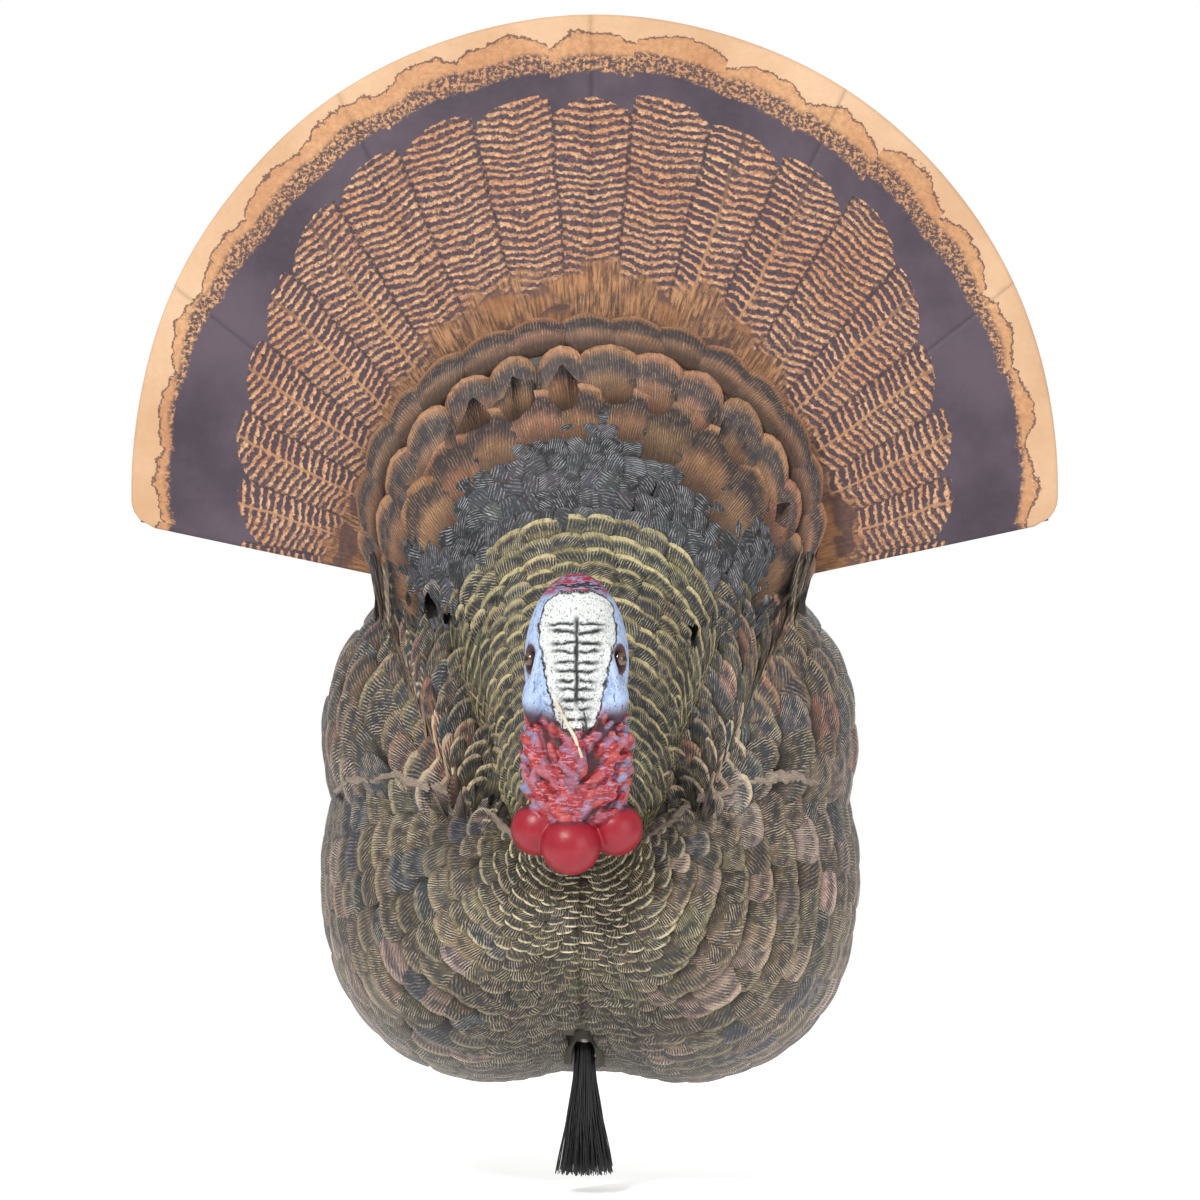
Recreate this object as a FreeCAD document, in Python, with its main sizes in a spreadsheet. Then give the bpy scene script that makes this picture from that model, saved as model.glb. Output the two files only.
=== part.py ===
"""Half-body strutting turkey decoy with a folding tail fan, as a parametric FreeCAD document.

A thin moulded shell, open at the back, is screwed to a flat spine. The spine carries a fan of seven
ribs and six cloth gores on one pivot bolt, and a grip tube whose bore takes the ground stake. The
head turns on a stud through the shell's neck boss, and the beard swings on a pin inside the breast.

+Z is up and the bird faces -Y. The origin is the mouth of the stake bore, on the bore's axis.
"""
import FreeCAD
import Part
import Sketcher
import math
import os

Vector = FreeCAD.Vector
Rotation = FreeCAD.Rotation

SIZES = [
    # alias, millimetres or degrees, meaning
    ("wall", 2.5, "thickness of the moulded shell"),
    ("rim_y", -48.0, "plane of the shell's open back"),
    ("breast_x", 62.0, "half the distance between the two breast lobes"),
    ("dome_back", 2.0, "how far the domes' centres lie behind the rim"),
    ("breast_z", 92.0, "height of the breast lobes"),
    ("breast_rx", 105.0, "breast lobe half width"),
    ("breast_ry", 150.0, "breast lobe depth in front of the rim"),
    ("breast_rz", 100.0, "breast lobe half height"),
    ("keel_rx", 92.0, "keel between the breast lobes, half width"),
    ("keel_ry", 141.5, "keel depth"),
    ("keel_rz", 93.0, "keel half height"),
    ("flank_x", 100.0, "half the distance between the flanks"),
    ("flank_z", 125.0, "height of the flanks"),
    ("flank_rx", 75.0, "flank half width"),
    ("flank_ry", 105.0, "flank depth"),
    ("flank_rz", 113.0, "flank half height"),
    ("shoulder_x", 98.0, "half the distance between the shoulders"),
    ("shoulder_z", 215.0, "height of the shoulders"),
    ("shoulder_rx", 75.5, "shoulder half width"),
    ("shoulder_ry", 98.0, "shoulder depth"),
    ("shoulder_rz", 100.0, "shoulder half height"),
    ("neck_z", 248.0, "height of the neck ridge"),
    ("neck_rx", 80.0, "neck ridge half width"),
    ("neck_ry", 132.0, "neck ridge depth"),
    ("neck_rz", 122.0, "neck ridge half height"),
    ("throat_dome_z", 195.0, "foot of the neck ridge"),
    ("throat_dome_rx", 72.0, "foot of the neck ridge, half width"),
    ("throat_dome_ry", 126.0, "foot of the neck ridge, depth"),
    ("throat_dome_rz", 80.0, "foot of the neck ridge, half height"),
    ("back_z", 325.0, "height of the back"),
    ("back_rx", 131.0, "back half width"),
    ("back_ry", 88.0, "back depth"),
    ("back_rz", 115.0, "back half height"),
    ("rump_z", 365.0, "height of the rump"),
    ("rump_rx", 151.0, "rump half width"),
    ("rump_ry", 34.0, "rump depth"),
    ("rump_rz", 124.0, "rump half height"),
    ("spine_width", 36.0, "width of the spine"),
    ("spine_thickness", 6.0, "thickness of the spine"),
    ("spine_bottom", 8.0, "lower end of the spine"),
    ("spine_top", 466.0, "upper end of the spine"),
    ("cross_half_length", 163.0, "half the length of the crossbar"),
    ("cross_height", 24.0, "width of the crossbar"),
    ("cross_thickness", 5.0, "thickness of the crossbar"),
    ("cross_z", 235.0, "height of the crossbar"),
    ("cross_boss_x", 152.0, "bosses that the crossbar is screwed to"),
    ("cross_spine_x", 10.0, "screws that join spine and crossbar"),
    ("boss_radius", 6.0, "screw bosses in the shell"),
    ("boss_low_z", 15.0, "lower spine boss"),
    ("boss_high_z", 452.0, "upper spine boss"),
    ("screw_radius", 2.0, "shank of the self-tapping screws"),
    ("screw_head_radius", 4.0, "screw head"),
    ("screw_head_height", 2.4, "screw head"),
    ("screw_length", 16.0, "screw shank"),
    ("screw_hole_gap", 0.1, "radial gap round a screw"),
    ("pivot_z", 296.0, "height of the fan's pivot"),
    ("bolt_radius", 3.0, "pivot bolt"),
    ("bolt_head_radius", 6.5, "pivot bolt's head"),
    ("bolt_head_height", 3.5, "pivot bolt's head"),
    ("run_gap", 0.08, "radial running clearance on bolts and studs"),
    ("spacer_radius", 16.0, "spacer between spine and ribs"),
    ("spacer_thickness", 3.5, "spacer between spine and ribs"),
    ("rib_thickness", 2.0, "fan rib"),
    ("rib_gap", 0.3, "gap between neighbouring ribs"),
    ("rib_eye_radius", 10.0, "eye of a rib"),
    ("rib_root_width", 9.0, "rib at its eye"),
    ("rib_tip_width", 5.0, "rib at its tip"),
    ("rib_tip_margin", 5.0, "cloth beyond a rib's tip"),
    ("rib_pitch", 26.0, "angle between open ribs"),
    ("fan_radius", 305.0, "outline circle of the open fan"),
    ("fan_rise", 89.0, "height of that circle's centre above the pivot"),
    ("cloth_inner", 72.0, "radius where the cloth starts"),
    ("cloth_thickness", 0.5, "printed cloth"),
    ("cloth_gap", 0.2, "gap between cloth and rib"),
    ("mast_screw_rise", 48.0, "screw that stops the middle rib turning"),
    ("clamp_radius", 15.0, "washer behind the ribs"),
    ("clamp_thickness", 2.0, "washer behind the ribs"),
    ("knob_radius", 17.0, "fan knob"),
    ("knob_height", 13.0, "fan knob"),
    ("lobe_radius", 4.0, "grip lobes of a knob"),
    ("stake_radius", 4.95, "bore for the stake"),
    ("tube_radius", 8.0, "grip tube outside"),
    ("tube_length", 172.0, "grip tube"),
    ("cap_radius", 10.5, "cap on the grip tube"),
    ("cap_skirt", 12.0, "cap's skirt"),
    ("cap_top", 3.0, "cap's end wall"),
    ("sleeve_radius", 14.0, "grip sleeve"),
    ("sleeve_bottom", 52.0, "grip sleeve's lower end"),
    ("sleeve_top", 141.0, "grip sleeve's upper end"),
    ("sleeve_wave", 1.6, "depth of the finger grooves"),
    ("slip_gap", 0.05, "gap between parts that slide together"),
    ("bracket_half_width", 12.0, "grip brackets"),
    ("low_bracket_z", 22.0, "lower grip bracket"),
    ("low_bracket_height", 26.0, "lower grip bracket"),
    ("high_bracket_z", 143.0, "upper grip bracket"),
    ("high_bracket_height", 14.0, "upper grip bracket"),
    ("stake_screw_z", 30.0, "thumb screw that holds the stake"),
    ("stake_screw_radius", 2.5, "thumb screw's thread"),
    ("stake_knob_radius", 10.0, "thumb screw's knob"),
    ("stake_knob_height", 9.0, "thumb screw's knob"),
    ("head_z", 205.0, "height of the head's stud"),
    ("head_seat", 136.0, "front of the neck boss, measured from the rim"),
    ("head_gap", 0.5, "gap between head and neck boss"),
    ("neck_boss_radius", 17.0, "neck boss"),
    ("neck_boss_length", 30.0, "neck boss"),
    ("stud_radius", 4.0, "head's stud"),
    ("stud_in_head", 24.0, "stud inside the head"),
    ("stud_tail", 50.0, "stud behind the neck boss's front"),
    ("washer_radius", 11.0, "head washer"),
    ("washer_thickness", 1.5, "head washer"),
    ("head_knob_radius", 14.0, "knob on the head's stud"),
    ("head_knob_height", 12.0, "knob on the head's stud"),
    ("skull_rx", 33.0, "skull half width"),
    ("skull_ry", 33.0, "skull half depth"),
    ("skull_rz", 56.0, "skull half height"),
    ("skull_y", 171.0, "skull's centre in front of the rim"),
    ("skull_z", 263.0, "skull's centre"),
    ("throat_rx", 33.0, "throat half width"),
    ("throat_ry", 28.0, "throat half depth"),
    ("throat_rz", 56.0, "throat half height"),
    ("throat_z", 206.0, "throat's centre"),
    ("beak_rx", 9.0, "beak half width"),
    ("beak_ry", 12.0, "beak half depth"),
    ("beak_rz", 30.0, "beak half length"),
    ("beak_y", 196.0, "beak's centre in front of the rim"),
    ("beak_z", 216.0, "beak's centre"),
    ("wattle_radius", 17.0, "side caruncles"),
    ("wattle_x", 24.0, "side caruncles"),
    ("wattle_y", 169.0, "side caruncles in front of the rim"),
    ("wattle_z", 160.0, "side caruncles"),
    ("middle_wattle_radius", 18.5, "middle caruncle"),
    ("middle_wattle_y", 182.0, "middle caruncle in front of the rim"),
    ("middle_wattle_z", 150.0, "middle caruncle"),
    ("head_wall", 3.0, "thickness of the head's moulding"),
    ("insert_radius", 10.0, "boss inside the head that holds the stud"),
    ("eye_radius", 5.0, "glass eye"),
    ("eye_x", 27.0, "glass eye"),
    ("eye_y", 186.0, "glass eye in front of the rim"),
    ("eye_z", 265.0, "glass eye"),
    ("beard_y", 78.0, "beard's pin in front of the rim"),
    ("beard_z", 39.0, "beard's pin"),
    ("beard_collar_radius", 13.0, "collar inside the breast"),
    ("beard_collar_top", 44.0, "top of that collar"),
    ("beard_hole_radius", 7.9, "hole that the beard hangs through"),
    ("beard_hole_splay", 19.0, "tilt of the hole's two outer passes"),
    ("beard_pin_radius", 1.5, "beard's pin"),
    ("ferrule_radius", 6.0, "crimped ferrule on the bristles"),
    ("ferrule_top", 44.0, "ferrule's upper end"),
    ("ferrule_bottom", 22.0, "ferrule's lower end"),
    ("bristle_waist_radius", 8.5, "bristles at the breast's edge"),
    ("bristle_waist_z", -4.0, "bristles at the breast's edge"),
    ("bristle_tip_radius", 19.5, "bristles at their tips"),
    ("bristle_tip_z", -62.0, "bristles' tips"),
]
SIDE_RIBS = 3  # on each side of the middle rib
KNOB_LOBES = 6
TO_Y = Rotation(Vector(1, 0, 0), -90)  # turns a +Z feature to point along +Y
TO_X = Rotation(Vector(0, 1, 0), 90)  # turns a +Z feature to point along +X
FAR = 400.0  # longer than any cut needs to be


class Dim:
    """A number that remembers the sheet expression it stands for."""

    def __init__(self, value, text):
        self.value, self.text = value, text

    def __add__(self, other):
        other = dim(other)
        return Dim(self.value + other.value, f"({self.text} + {other.text})")

    def __sub__(self, other):
        other = dim(other)
        return Dim(self.value - other.value, f"({self.text} - {other.text})")

    def __rsub__(self, other):
        return dim(other) - self

    def __mul__(self, factor):
        return Dim(self.value * factor, f"({self.text} * {factor!r})")

    def __neg__(self):
        return Dim(-self.value, f"(0 - {self.text})")

    __radd__ = __add__
    __rmul__ = __mul__


def dim(number):
    return number if isinstance(number, Dim) else Dim(float(number), repr(float(number)))


class Sheet:
    """The driving dimensions: s.wall is a Dim bound to the sheet's cell of that alias."""

    def __init__(self, document):
        self.table = document.addObject("Spreadsheet::Sheet", "Sizes")
        for row, (alias, value, meaning) in enumerate(SIZES, start=1):
            self.table.set(f"A{row}", alias)
            self.table.set(f"B{row}", str(value))
            self.table.setAlias(f"B{row}", alias)
            self.table.set(f"C{row}", meaning)
            setattr(self, alias, Dim(value, f"Sizes.{alias}"))
        document.recompute()


doc = FreeCAD.newDocument("TurkeyDecoy")
s = Sheet(doc)
kept = {}  # node name: document object


# ---------------------------------------------------------------- helpers

def bind(item, prop, size):
    item.setExpression(prop, dim(size).text)


def place(item, x=0, y=0, z=0, rotation=None):
    """Puts an object at sheet-bound coordinates."""
    x, y, z = dim(x), dim(y), dim(z)
    item.Placement = FreeCAD.Placement(Vector(x.value, y.value, z.value), rotation or Rotation())
    for axis, size in zip("xyz", (x, y, z)):
        bind(item, f"Placement.Base.{axis}", size)


def in_front(distance):
    """The y of a point that far in front of the shell's rim."""
    return s.rim_y - distance


def keep(item, name):
    item.Label = name
    kept[name] = item
    return item


def cylinder(name, radius, height, x=0, y=0, z=0, rotation=None):
    item = doc.addObject("Part::Cylinder", name)
    bind(item, "Radius", radius)
    bind(item, "Height", height)
    place(item, x, y, z, rotation)
    return item


def box(name, length, width, height, x, y, z):
    item = doc.addObject("Part::Box", name)
    for prop, size in (("Length", length), ("Width", width), ("Height", height)):
        bind(item, prop, size)
    place(item, x, y, z)
    return item


def lump(name, radii, x, y, z):
    """An ellipsoid turned so that its seam lies at the rear, where each one here is cut away."""
    item = doc.addObject("Part::Ellipsoid", name)
    for prop, size in zip(("Radius3", "Radius2", "Radius1"), radii):
        bind(item, prop, size)
    place(item, x, y, z, Rotation(Vector(0, 0, 1), 90))
    return item


def sphere(name, radius, x, y, z):
    item = doc.addObject("Part::Sphere", name)
    bind(item, "Radius", radius)
    place(item, x, y, z)
    return item


def fuse(name, items):
    item = doc.addObject("Part::MultiFuse", name)
    item.Shapes = items
    return item


def boolean(kind, name, base, tool):
    item = doc.addObject(f"Part::{kind}", name)
    item.Base, item.Tool = base, tool
    return item


def cut(name, base, tool):
    return boolean("Cut", name, base, tool)


def common(name, base, tool):
    return boolean("Common", name, base, tool)


def group(name, items):
    item = doc.addObject("Part::Compound", name)
    item.Links = items
    return item


def body(name):
    item = doc.addObject("PartDesign::Body", name)
    item.Label = name
    return item


def sketch(owner, name, role):
    """A sketch on one of the body's own origin planes."""
    item = owner.newObject("Sketcher::SketchObject", name)
    plane = next(f for f in owner.Origin.OriginFeatures if f.Role == role)
    item.AttachmentSupport = (plane, [""])
    item.MapMode = "FlatFace"
    return item


def circle(owner, radius, x=0, y=0):
    x, y, radius = dim(x), dim(y), dim(radius)
    curve = Part.Circle(Vector(x.value, y.value, 0), Vector(0, 0, 1), radius.value)
    index = owner.addGeometry(curve)
    bound = [("Radius", index, radius)]
    for kind, place_of in (("DistanceX", x), ("DistanceY", y)):
        if place_of.value or place_of.text != "0.0":
            bound.append((kind, -1, 1, index, 3, place_of))
        else:
            onto = -2 if kind == "DistanceX" else -1
            owner.addConstraint(Sketcher.Constraint("PointOnObject", index, 3, onto))
    constrain(owner, bound)
    return index


def constrain(owner, bound):
    for *reference, size in bound:
        number = owner.addConstraint(Sketcher.Constraint(*reference, size.value))
        owner.setExpression(f"Constraints[{number}]", size.text)


def polygon(owner, corners):
    """A closed outline through sheet-bound corners."""
    corners = [(dim(x), dim(y)) for x, y in corners]
    count = len(corners)
    first = owner.GeometryCount
    for k, (x, y) in enumerate(corners):
        nx, ny = corners[(k + 1) % count]
        owner.addGeometry(Part.LineSegment(Vector(x.value, y.value, 0), Vector(nx.value, ny.value, 0)))
    for k in range(count):
        after = first + (k + 1) % count
        owner.addConstraint(Sketcher.Constraint("Coincident", first + k, 2, after, 1))
    for k, (x, y) in enumerate(corners):
        constrain(owner, [("DistanceX", -1, 1, first + k, 1, x), ("DistanceY", -1, 1, first + k, 1, y)])


def pad(owner, profile, length, reverse=False):
    item = owner.newObject("PartDesign::Pad", "Pad")
    item.Profile = profile
    item.Reversed = reverse
    bind(item, "Length", length)
    doc.recompute()
    return item


def pocket(owner, profile, reverse=False):
    """Cuts right through, and stops the build if it removed nothing."""
    before = owner.Shape.Volume
    item = owner.newObject("PartDesign::Pocket", "Pocket")
    item.Profile = profile
    item.Type = "ThroughAll"
    item.Midplane = True
    item.Reversed = reverse
    doc.recompute()
    if owner.Shape.Volume >= before - 1e-6:
        raise ValueError(f"the pocket in {owner.Label} cuts nothing")
    return item


def revolve(owner, profile):
    """Turns a sketch on XZ_Plane about the Z axis."""
    item = owner.newObject("PartDesign::Revolution", "Revolution")
    item.Profile = profile
    item.ReferenceAxis = (profile, ["V_Axis"])
    item.Angle = 360
    doc.recompute()
    return item


def turned(name, corners, x=0, y=0, z=0, rotation=None):
    """A turned piece: corners are (radius, height along the axis)."""
    item = body(name)
    polygon(profile := sketch(item, f"{name}_profile", "XZ_Plane"), corners)
    revolve(item, profile)
    place(item, x, y, z, rotation)
    return item


def plate(name, corners, thickness, holes=(), x=0, y=0, z=0):
    """A flat plate in XZ, thickness along +Y, with round holes (x, z, radius)."""
    item = body(name)
    polygon(outline := sketch(item, f"{name}_outline", "XZ_Plane"), corners)
    pad(item, outline, thickness, reverse=True)
    if holes:
        drilled = sketch(item, f"{name}_holes", "XZ_Plane")
        for hole_x, hole_z, radius in holes:
            circle(drilled, radius, hole_x, hole_z)
        pocket(item, drilled)
    place(item, x, y, z)
    return item


def star_knob(name, radius, height, bore, x, y, z):
    """A lobed hand knob, its axis along +Y from (x, y, z)."""
    item = body(name)
    circle(hub := sketch(item, f"{name}_hub", "XZ_Plane"), radius - s.lobe_radius)
    pad(item, hub, height, reverse=True)
    lobe = sketch(item, f"{name}_lobe", "XZ_Plane")
    circle(lobe, s.lobe_radius, 0, radius - s.lobe_radius)
    first = pad(item, lobe, height, reverse=True)
    lobes = item.newObject("PartDesign::PolarPattern", "Lobes")
    lobes.Originals = [first]
    lobes.Axis = (hub, ["N_Axis"])
    lobes.Angle = 360
    lobes.Occurrences = KNOB_LOBES
    item.Tip = lobes
    doc.recompute()
    circle(hole := sketch(item, f"{name}_bore", "XZ_Plane"), bore)
    pocket(item, hole)
    place(item, x, y, z)
    return item


def screw(name, x, y, z, faces_front=False, length=s.screw_length):
    """A pan-head screw along Y. Its head's underside is at y; the shank runs to the front, or to the rear."""
    turn = Rotation(Vector(1, 0, 0), -90 if faces_front else 90)
    head = cylinder(f"{name}_head", s.screw_head_radius, s.screw_head_height)
    shank = cylinder(f"{name}_shank", s.screw_radius, length, z=s.screw_head_height)
    whole = fuse(name, [head, shank])
    place(whole, x, y - s.screw_head_height if faces_front else y + s.screw_head_height, z, turn)
    return whole


def screw_hole():
    return s.screw_radius + s.screw_hole_gap


# ---------------------------------------------------------------- shell

def body_lobes(name, inset):
    """The union of the body's eleven domes, all pulled in by inset. Their poles lie behind the rim."""
    def dome(part, x, z, rx, ry, rz):
        radii = [rx - inset, ry + s.dome_back - inset, rz - inset]
        return lump(f"{name}_{part}", radii, x, s.rim_y + s.dome_back, z)

    domes = [
        dome("neck", 0, s.neck_z, s.neck_rx, s.neck_ry, s.neck_rz),
        dome("back", 0, s.back_z, s.back_rx, s.back_ry, s.back_rz),
        dome("rump", 0, s.rump_z, s.rump_rx, s.rump_ry, s.rump_rz),
        dome("keel", 0, s.breast_z, s.keel_rx, s.keel_ry, s.keel_rz),
        dome("throat_foot", 0, s.throat_dome_z, s.throat_dome_rx, s.throat_dome_ry, s.throat_dome_rz),
    ]
    for side, sign in (("left", -1), ("right", 1)):
        domes.append(dome(f"{side}_breast", s.breast_x * sign, s.breast_z,
                          s.breast_rx, s.breast_ry, s.breast_rz))
        domes.append(dome(f"{side}_flank", s.flank_x * sign, s.flank_z,
                          s.flank_rx, s.flank_ry, s.flank_rz))
        domes.append(dome(f"{side}_shoulder", s.shoulder_x * sign, s.shoulder_z,
                          s.shoulder_rx, s.shoulder_ry, s.shoulder_rz))
    return fuse(name, domes)


def make_shell():
    """The moulded front: domes cut off at the rim, hollowed, with bosses for screws, head and beard."""
    front = box("front_half", FAR * 2, FAR, FAR * 2, -FAR, s.rim_y - FAR, -FAR * 0.5)
    solid = common("shell_solid", body_lobes("outer", 0), front)
    hollow = cut("shell_hollow", solid, body_lobes("inner", s.wall))
    long_bosses = fuse("long_bosses", [
        cylinder("boss_low", s.boss_radius, FAR, 0, s.rim_y - FAR, s.boss_low_z, TO_Y),
        cylinder("boss_high", s.boss_radius, FAR, 0, s.rim_y - FAR, s.boss_high_z, TO_Y),
        *(cylinder(f"boss_side_{n}", s.boss_radius, FAR, s.cross_boss_x * sign,
                   s.rim_y - s.cross_thickness - FAR, s.cross_z, TO_Y)
          for n, sign in ((1, -1), (2, 1))),
        cylinder("beard_collar", s.beard_collar_radius, FAR, 0, in_front(s.beard_y),
                 s.beard_collar_top - FAR),
    ])
    trimmed = common("trimmed_bosses", long_bosses, solid)
    neck_boss = cylinder("neck_boss", s.neck_boss_radius, s.neck_boss_length,
                         0, in_front(s.head_seat), s.head_z, TO_Y)
    whole = fuse("shell_with_bosses", [hollow, trimmed, neck_boss])
    pilot = screw_hole()
    holes = fuse("shell_holes", [
        cylinder("pilot_low", pilot, s.screw_length, 0, s.rim_y - s.screw_length, s.boss_low_z, TO_Y),
        cylinder("pilot_high", pilot, s.screw_length, 0, s.rim_y - s.screw_length, s.boss_high_z, TO_Y),
        *(cylinder(f"pilot_side_{n}", pilot, FAR * 0.06, s.cross_boss_x * sign,
                   s.rim_y - FAR * 0.06, s.cross_z, TO_Y) for n, sign in ((1, -1), (2, 1))),
        cylinder("stud_hole", s.stud_radius + s.run_gap, FAR * 0.1, 0,
                 in_front(s.head_seat + 1), s.head_z, TO_Y),
        *(beard_hole(n, sign) for n, sign in ((1, -1), (2, 0), (3, 1))),
        box("beard_slot", s.beard_hole_radius * 2, s.beard_collar_radius * 2, FAR * 0.1,
            -s.beard_hole_radius, in_front(s.beard_y) - s.beard_collar_radius, s.beard_z),
        cylinder("pin_hole", s.beard_pin_radius + s.slip_gap, s.beard_collar_radius * 2 + 2,
                 -s.beard_collar_radius - 1, in_front(s.beard_y), s.beard_z, TO_X),
    ])
    keep(cut("body_shell_part", whole, holes), "body_shell")


def beard_hole(number, sign):
    """One of three passes through the pin's axis, so that the beard has room to swing."""
    hole = cylinder(f"beard_hole_{number}", s.beard_hole_radius, s.beard_z + FAR * 0.1, 0,
                    in_front(s.beard_y), s.beard_z, Rotation(Vector(1, 0, 0), 180))
    bind(hole, "Placement.Rotation.Angle", s.beard_hole_splay * sign + 180)
    return hole


# ---------------------------------------------------------------- spine and crossbar

def make_spine():
    half = s.spine_width * 0.5
    hole = screw_hole()
    corners = [(-half, s.spine_bottom), (half, s.spine_bottom), (half, s.spine_top - 20),
               (half - 10, s.spine_top), (-half + 10, s.spine_top), (-half, s.spine_top - 20)]
    holes = [
        (0, s.boss_low_z, hole), (0, s.boss_high_z, hole),
        (0, s.pivot_z, s.bolt_radius + s.slip_gap), (0, s.pivot_z + s.mast_screw_rise, hole),
        (-s.cross_spine_x, s.cross_z, hole), (s.cross_spine_x, s.cross_z, hole),
        (0, low_bracket_screw_z(1), hole), (0, high_bracket_screw_z(), hole),
    ]
    keep(plate("spine_part", corners, s.spine_thickness, holes, y=s.rim_y), "spine")


def make_crossbar():
    length, half = s.cross_half_length, s.cross_height * 0.5
    hole = screw_hole()
    corners = [(-length, -half), (length, -half), (length, half), (-length, half)]
    holes = [(s.cross_boss_x * sign, 0, hole) for sign in (-1, 1)]
    holes += [(s.cross_spine_x * sign, 0, hole) for sign in (-1, 1)]
    keep(plate("crossbar_part", corners, s.cross_thickness, holes,
               y=s.rim_y - s.cross_thickness, z=s.cross_z), "crossbar")


def spine_rear():
    return s.rim_y + s.spine_thickness


def make_frame_screws():
    """Spine to the shell's bosses, crossbar to its bosses, and spine to crossbar."""
    keep(group("spine_screws_part", [
        screw("spine_screw_low", 0, spine_rear(), s.boss_low_z),
        screw("spine_screw_high", 0, spine_rear(), s.boss_high_z),
    ]), "spine_screws")
    keep(group("crossbar_screws_part", [
        *(screw(f"crossbar_screw_{n}", s.cross_boss_x * sign, s.rim_y, s.cross_z)
          for n, sign in ((1, -1), (2, 1))),
        *(screw(f"crossbar_screw_{n}", s.cross_spine_x * sign, spine_rear(), s.cross_z)
          for n, sign in ((3, -1), (4, 1))),
    ]), "crossbar_screws")


# ---------------------------------------------------------------- fan

def rib_front(layer):
    """The y of a rib's front face; the ribs are stacked on the bolt from the spine to the rear."""
    return spine_rear() + s.spacer_thickness + s.rib_gap + (s.rib_thickness + s.rib_gap) * layer


def rib_layer(side, number):
    """The middle rib is in layer 0, then right and left take turns."""
    return 0 if number == 0 else 2 * number - (1 if side == "right" else 0)


def cloth_reach(angle):
    """How far the open cloth reaches from the pivot, at an angle from upright in radians."""
    rise, radius = s.fan_rise.value, s.fan_radius.value
    return rise * math.cos(angle) + math.sqrt(radius ** 2 - (rise * math.sin(angle)) ** 2)


def make_rib(side, number, name):
    """A flat batten with an eye, standing upright in its own body and turned to its open angle."""
    angle = s.rib_pitch * number
    tip = cloth_reach(math.radians(angle.value)) - s.rib_tip_margin
    item = body(f"{name}_part")
    circle(eye := sketch(item, f"{name}_eye", "XZ_Plane"), s.rib_eye_radius)
    pad(item, eye, s.rib_thickness, reverse=True)
    root, end = s.rib_root_width * 0.5, s.rib_tip_width * 0.5
    blade = sketch(item, f"{name}_blade", "XZ_Plane")
    polygon(blade, [(-root, 4), (root, 4), (end, tip), (-end, tip)])
    pad(item, blade, s.rib_thickness, reverse=True)
    bore = sketch(item, f"{name}_bore", "XZ_Plane")
    circle(bore, s.bolt_radius + s.run_gap)
    if number == 0:
        circle(bore, screw_hole(), 0, s.mast_screw_rise)
    pocket(item, bore)
    axis = Vector(0, 1 if side == "right" else -1, 0)
    place(item, 0, rib_front(rib_layer(side, number)), s.pivot_z, Rotation(axis, angle.value))
    if number:
        bind(item, "Placement.Rotation.Angle", angle)
    keep(item, name)


def make_gore(side, number, name):
    """The cloth between rib number-1 and rib number: a slightly twisted sheet in front of both."""
    sign = 1 if side == "right" else -1
    inner, outer = [], []
    steps = 8
    edge = 0.15  # degrees that the sheet stops short of each rib's centre line
    for k in range(steps + 1):
        share = k / steps
        angle = math.radians(s.rib_pitch.value * (number - 1 + share) + edge * (1 - 2 * share))
        near, far = rib_front(rib_layer(side, number - 1)), rib_front(rib_layer(side, number))
        level = share * share * (3 - 2 * share)  # flat over both ribs
        y = near.value + (far.value - near.value) * level
        y -= s.cloth_gap.value + s.cloth_thickness.value
        for points, reach in ((inner, s.cloth_inner.value), (outer, cloth_reach(angle))):
            points.append(Vector(sign * reach * math.sin(angle), y,
                                 s.pivot_z.value + reach * math.cos(angle)))
    curves = []
    for points in (inner, outer):
        curve = Part.BSplineCurve()
        curve.interpolate(points)
        curves.append(curve.toShape())
    sheet = Part.makeRuledSurface(*curves)
    item = doc.addObject("Part::Feature", f"{name}_part")
    item.Shape = sheet.extrude(Vector(0, s.cloth_thickness.value, 0))
    keep(item, name)


def make_fan():
    make_rib("right", 0, "rib_middle")
    for side in ("right", "left"):
        for number in range(1, SIDE_RIBS + 1):
            make_rib(side, number, f"rib_{side}_{number}")
            make_gore(side, number, f"gore_{side}_{number}")
    stack_end = rib_front(2 * SIDE_RIBS) + s.rib_thickness + s.rib_gap
    knob_front = stack_end + s.clamp_thickness + s.rib_gap
    bore = s.bolt_radius + s.run_gap
    keep(turned("pivot_spacer_part", ring(s.bolt_radius + s.slip_gap, s.spacer_radius, s.spacer_thickness),
                0, spine_rear(), s.pivot_z, TO_Y), "pivot_spacer")
    keep(turned("clamp_washer_part", ring(bore, s.clamp_radius, s.clamp_thickness),
                0, stack_end, s.pivot_z, TO_Y), "clamp_washer")
    shank_end = knob_front - s.rim_y + s.knob_height - 1
    keep(turned("pivot_bolt_part", [
        (0, -s.bolt_head_height), (s.bolt_head_radius, -s.bolt_head_height), (s.bolt_head_radius, 0),
        (s.bolt_radius, 0), (s.bolt_radius, shank_end), (0, shank_end),
    ], 0, s.rim_y, s.pivot_z, TO_Y), "pivot_bolt")
    keep(star_knob("fan_knob_part", s.knob_radius, s.knob_height, bore, 0, knob_front, s.pivot_z),
         "fan_knob")
    reach = s.spine_thickness + s.spacer_thickness + s.rib_gap + s.rib_thickness
    keep(screw("mast_screw_part", 0, s.rim_y, s.pivot_z + s.mast_screw_rise, True, reach), "mast_screw")
    keep(turned("mast_spacer_part",
                ring(screw_hole(), s.screw_head_radius, s.spacer_thickness + s.rib_gap),
                0, spine_rear(), s.pivot_z + s.mast_screw_rise, TO_Y), "mast_spacer")


def ring(inner, outer, height):
    return [(inner, 0), (outer, 0), (outer, height), (inner, height)]


# ---------------------------------------------------------------- grip and stake bore

def low_bracket_screw_z(number):
    return s.low_bracket_z + s.low_bracket_height * (0.25 + 0.5 * number)


def high_bracket_screw_z():
    return s.high_bracket_z + s.high_bracket_height * 0.5


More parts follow.
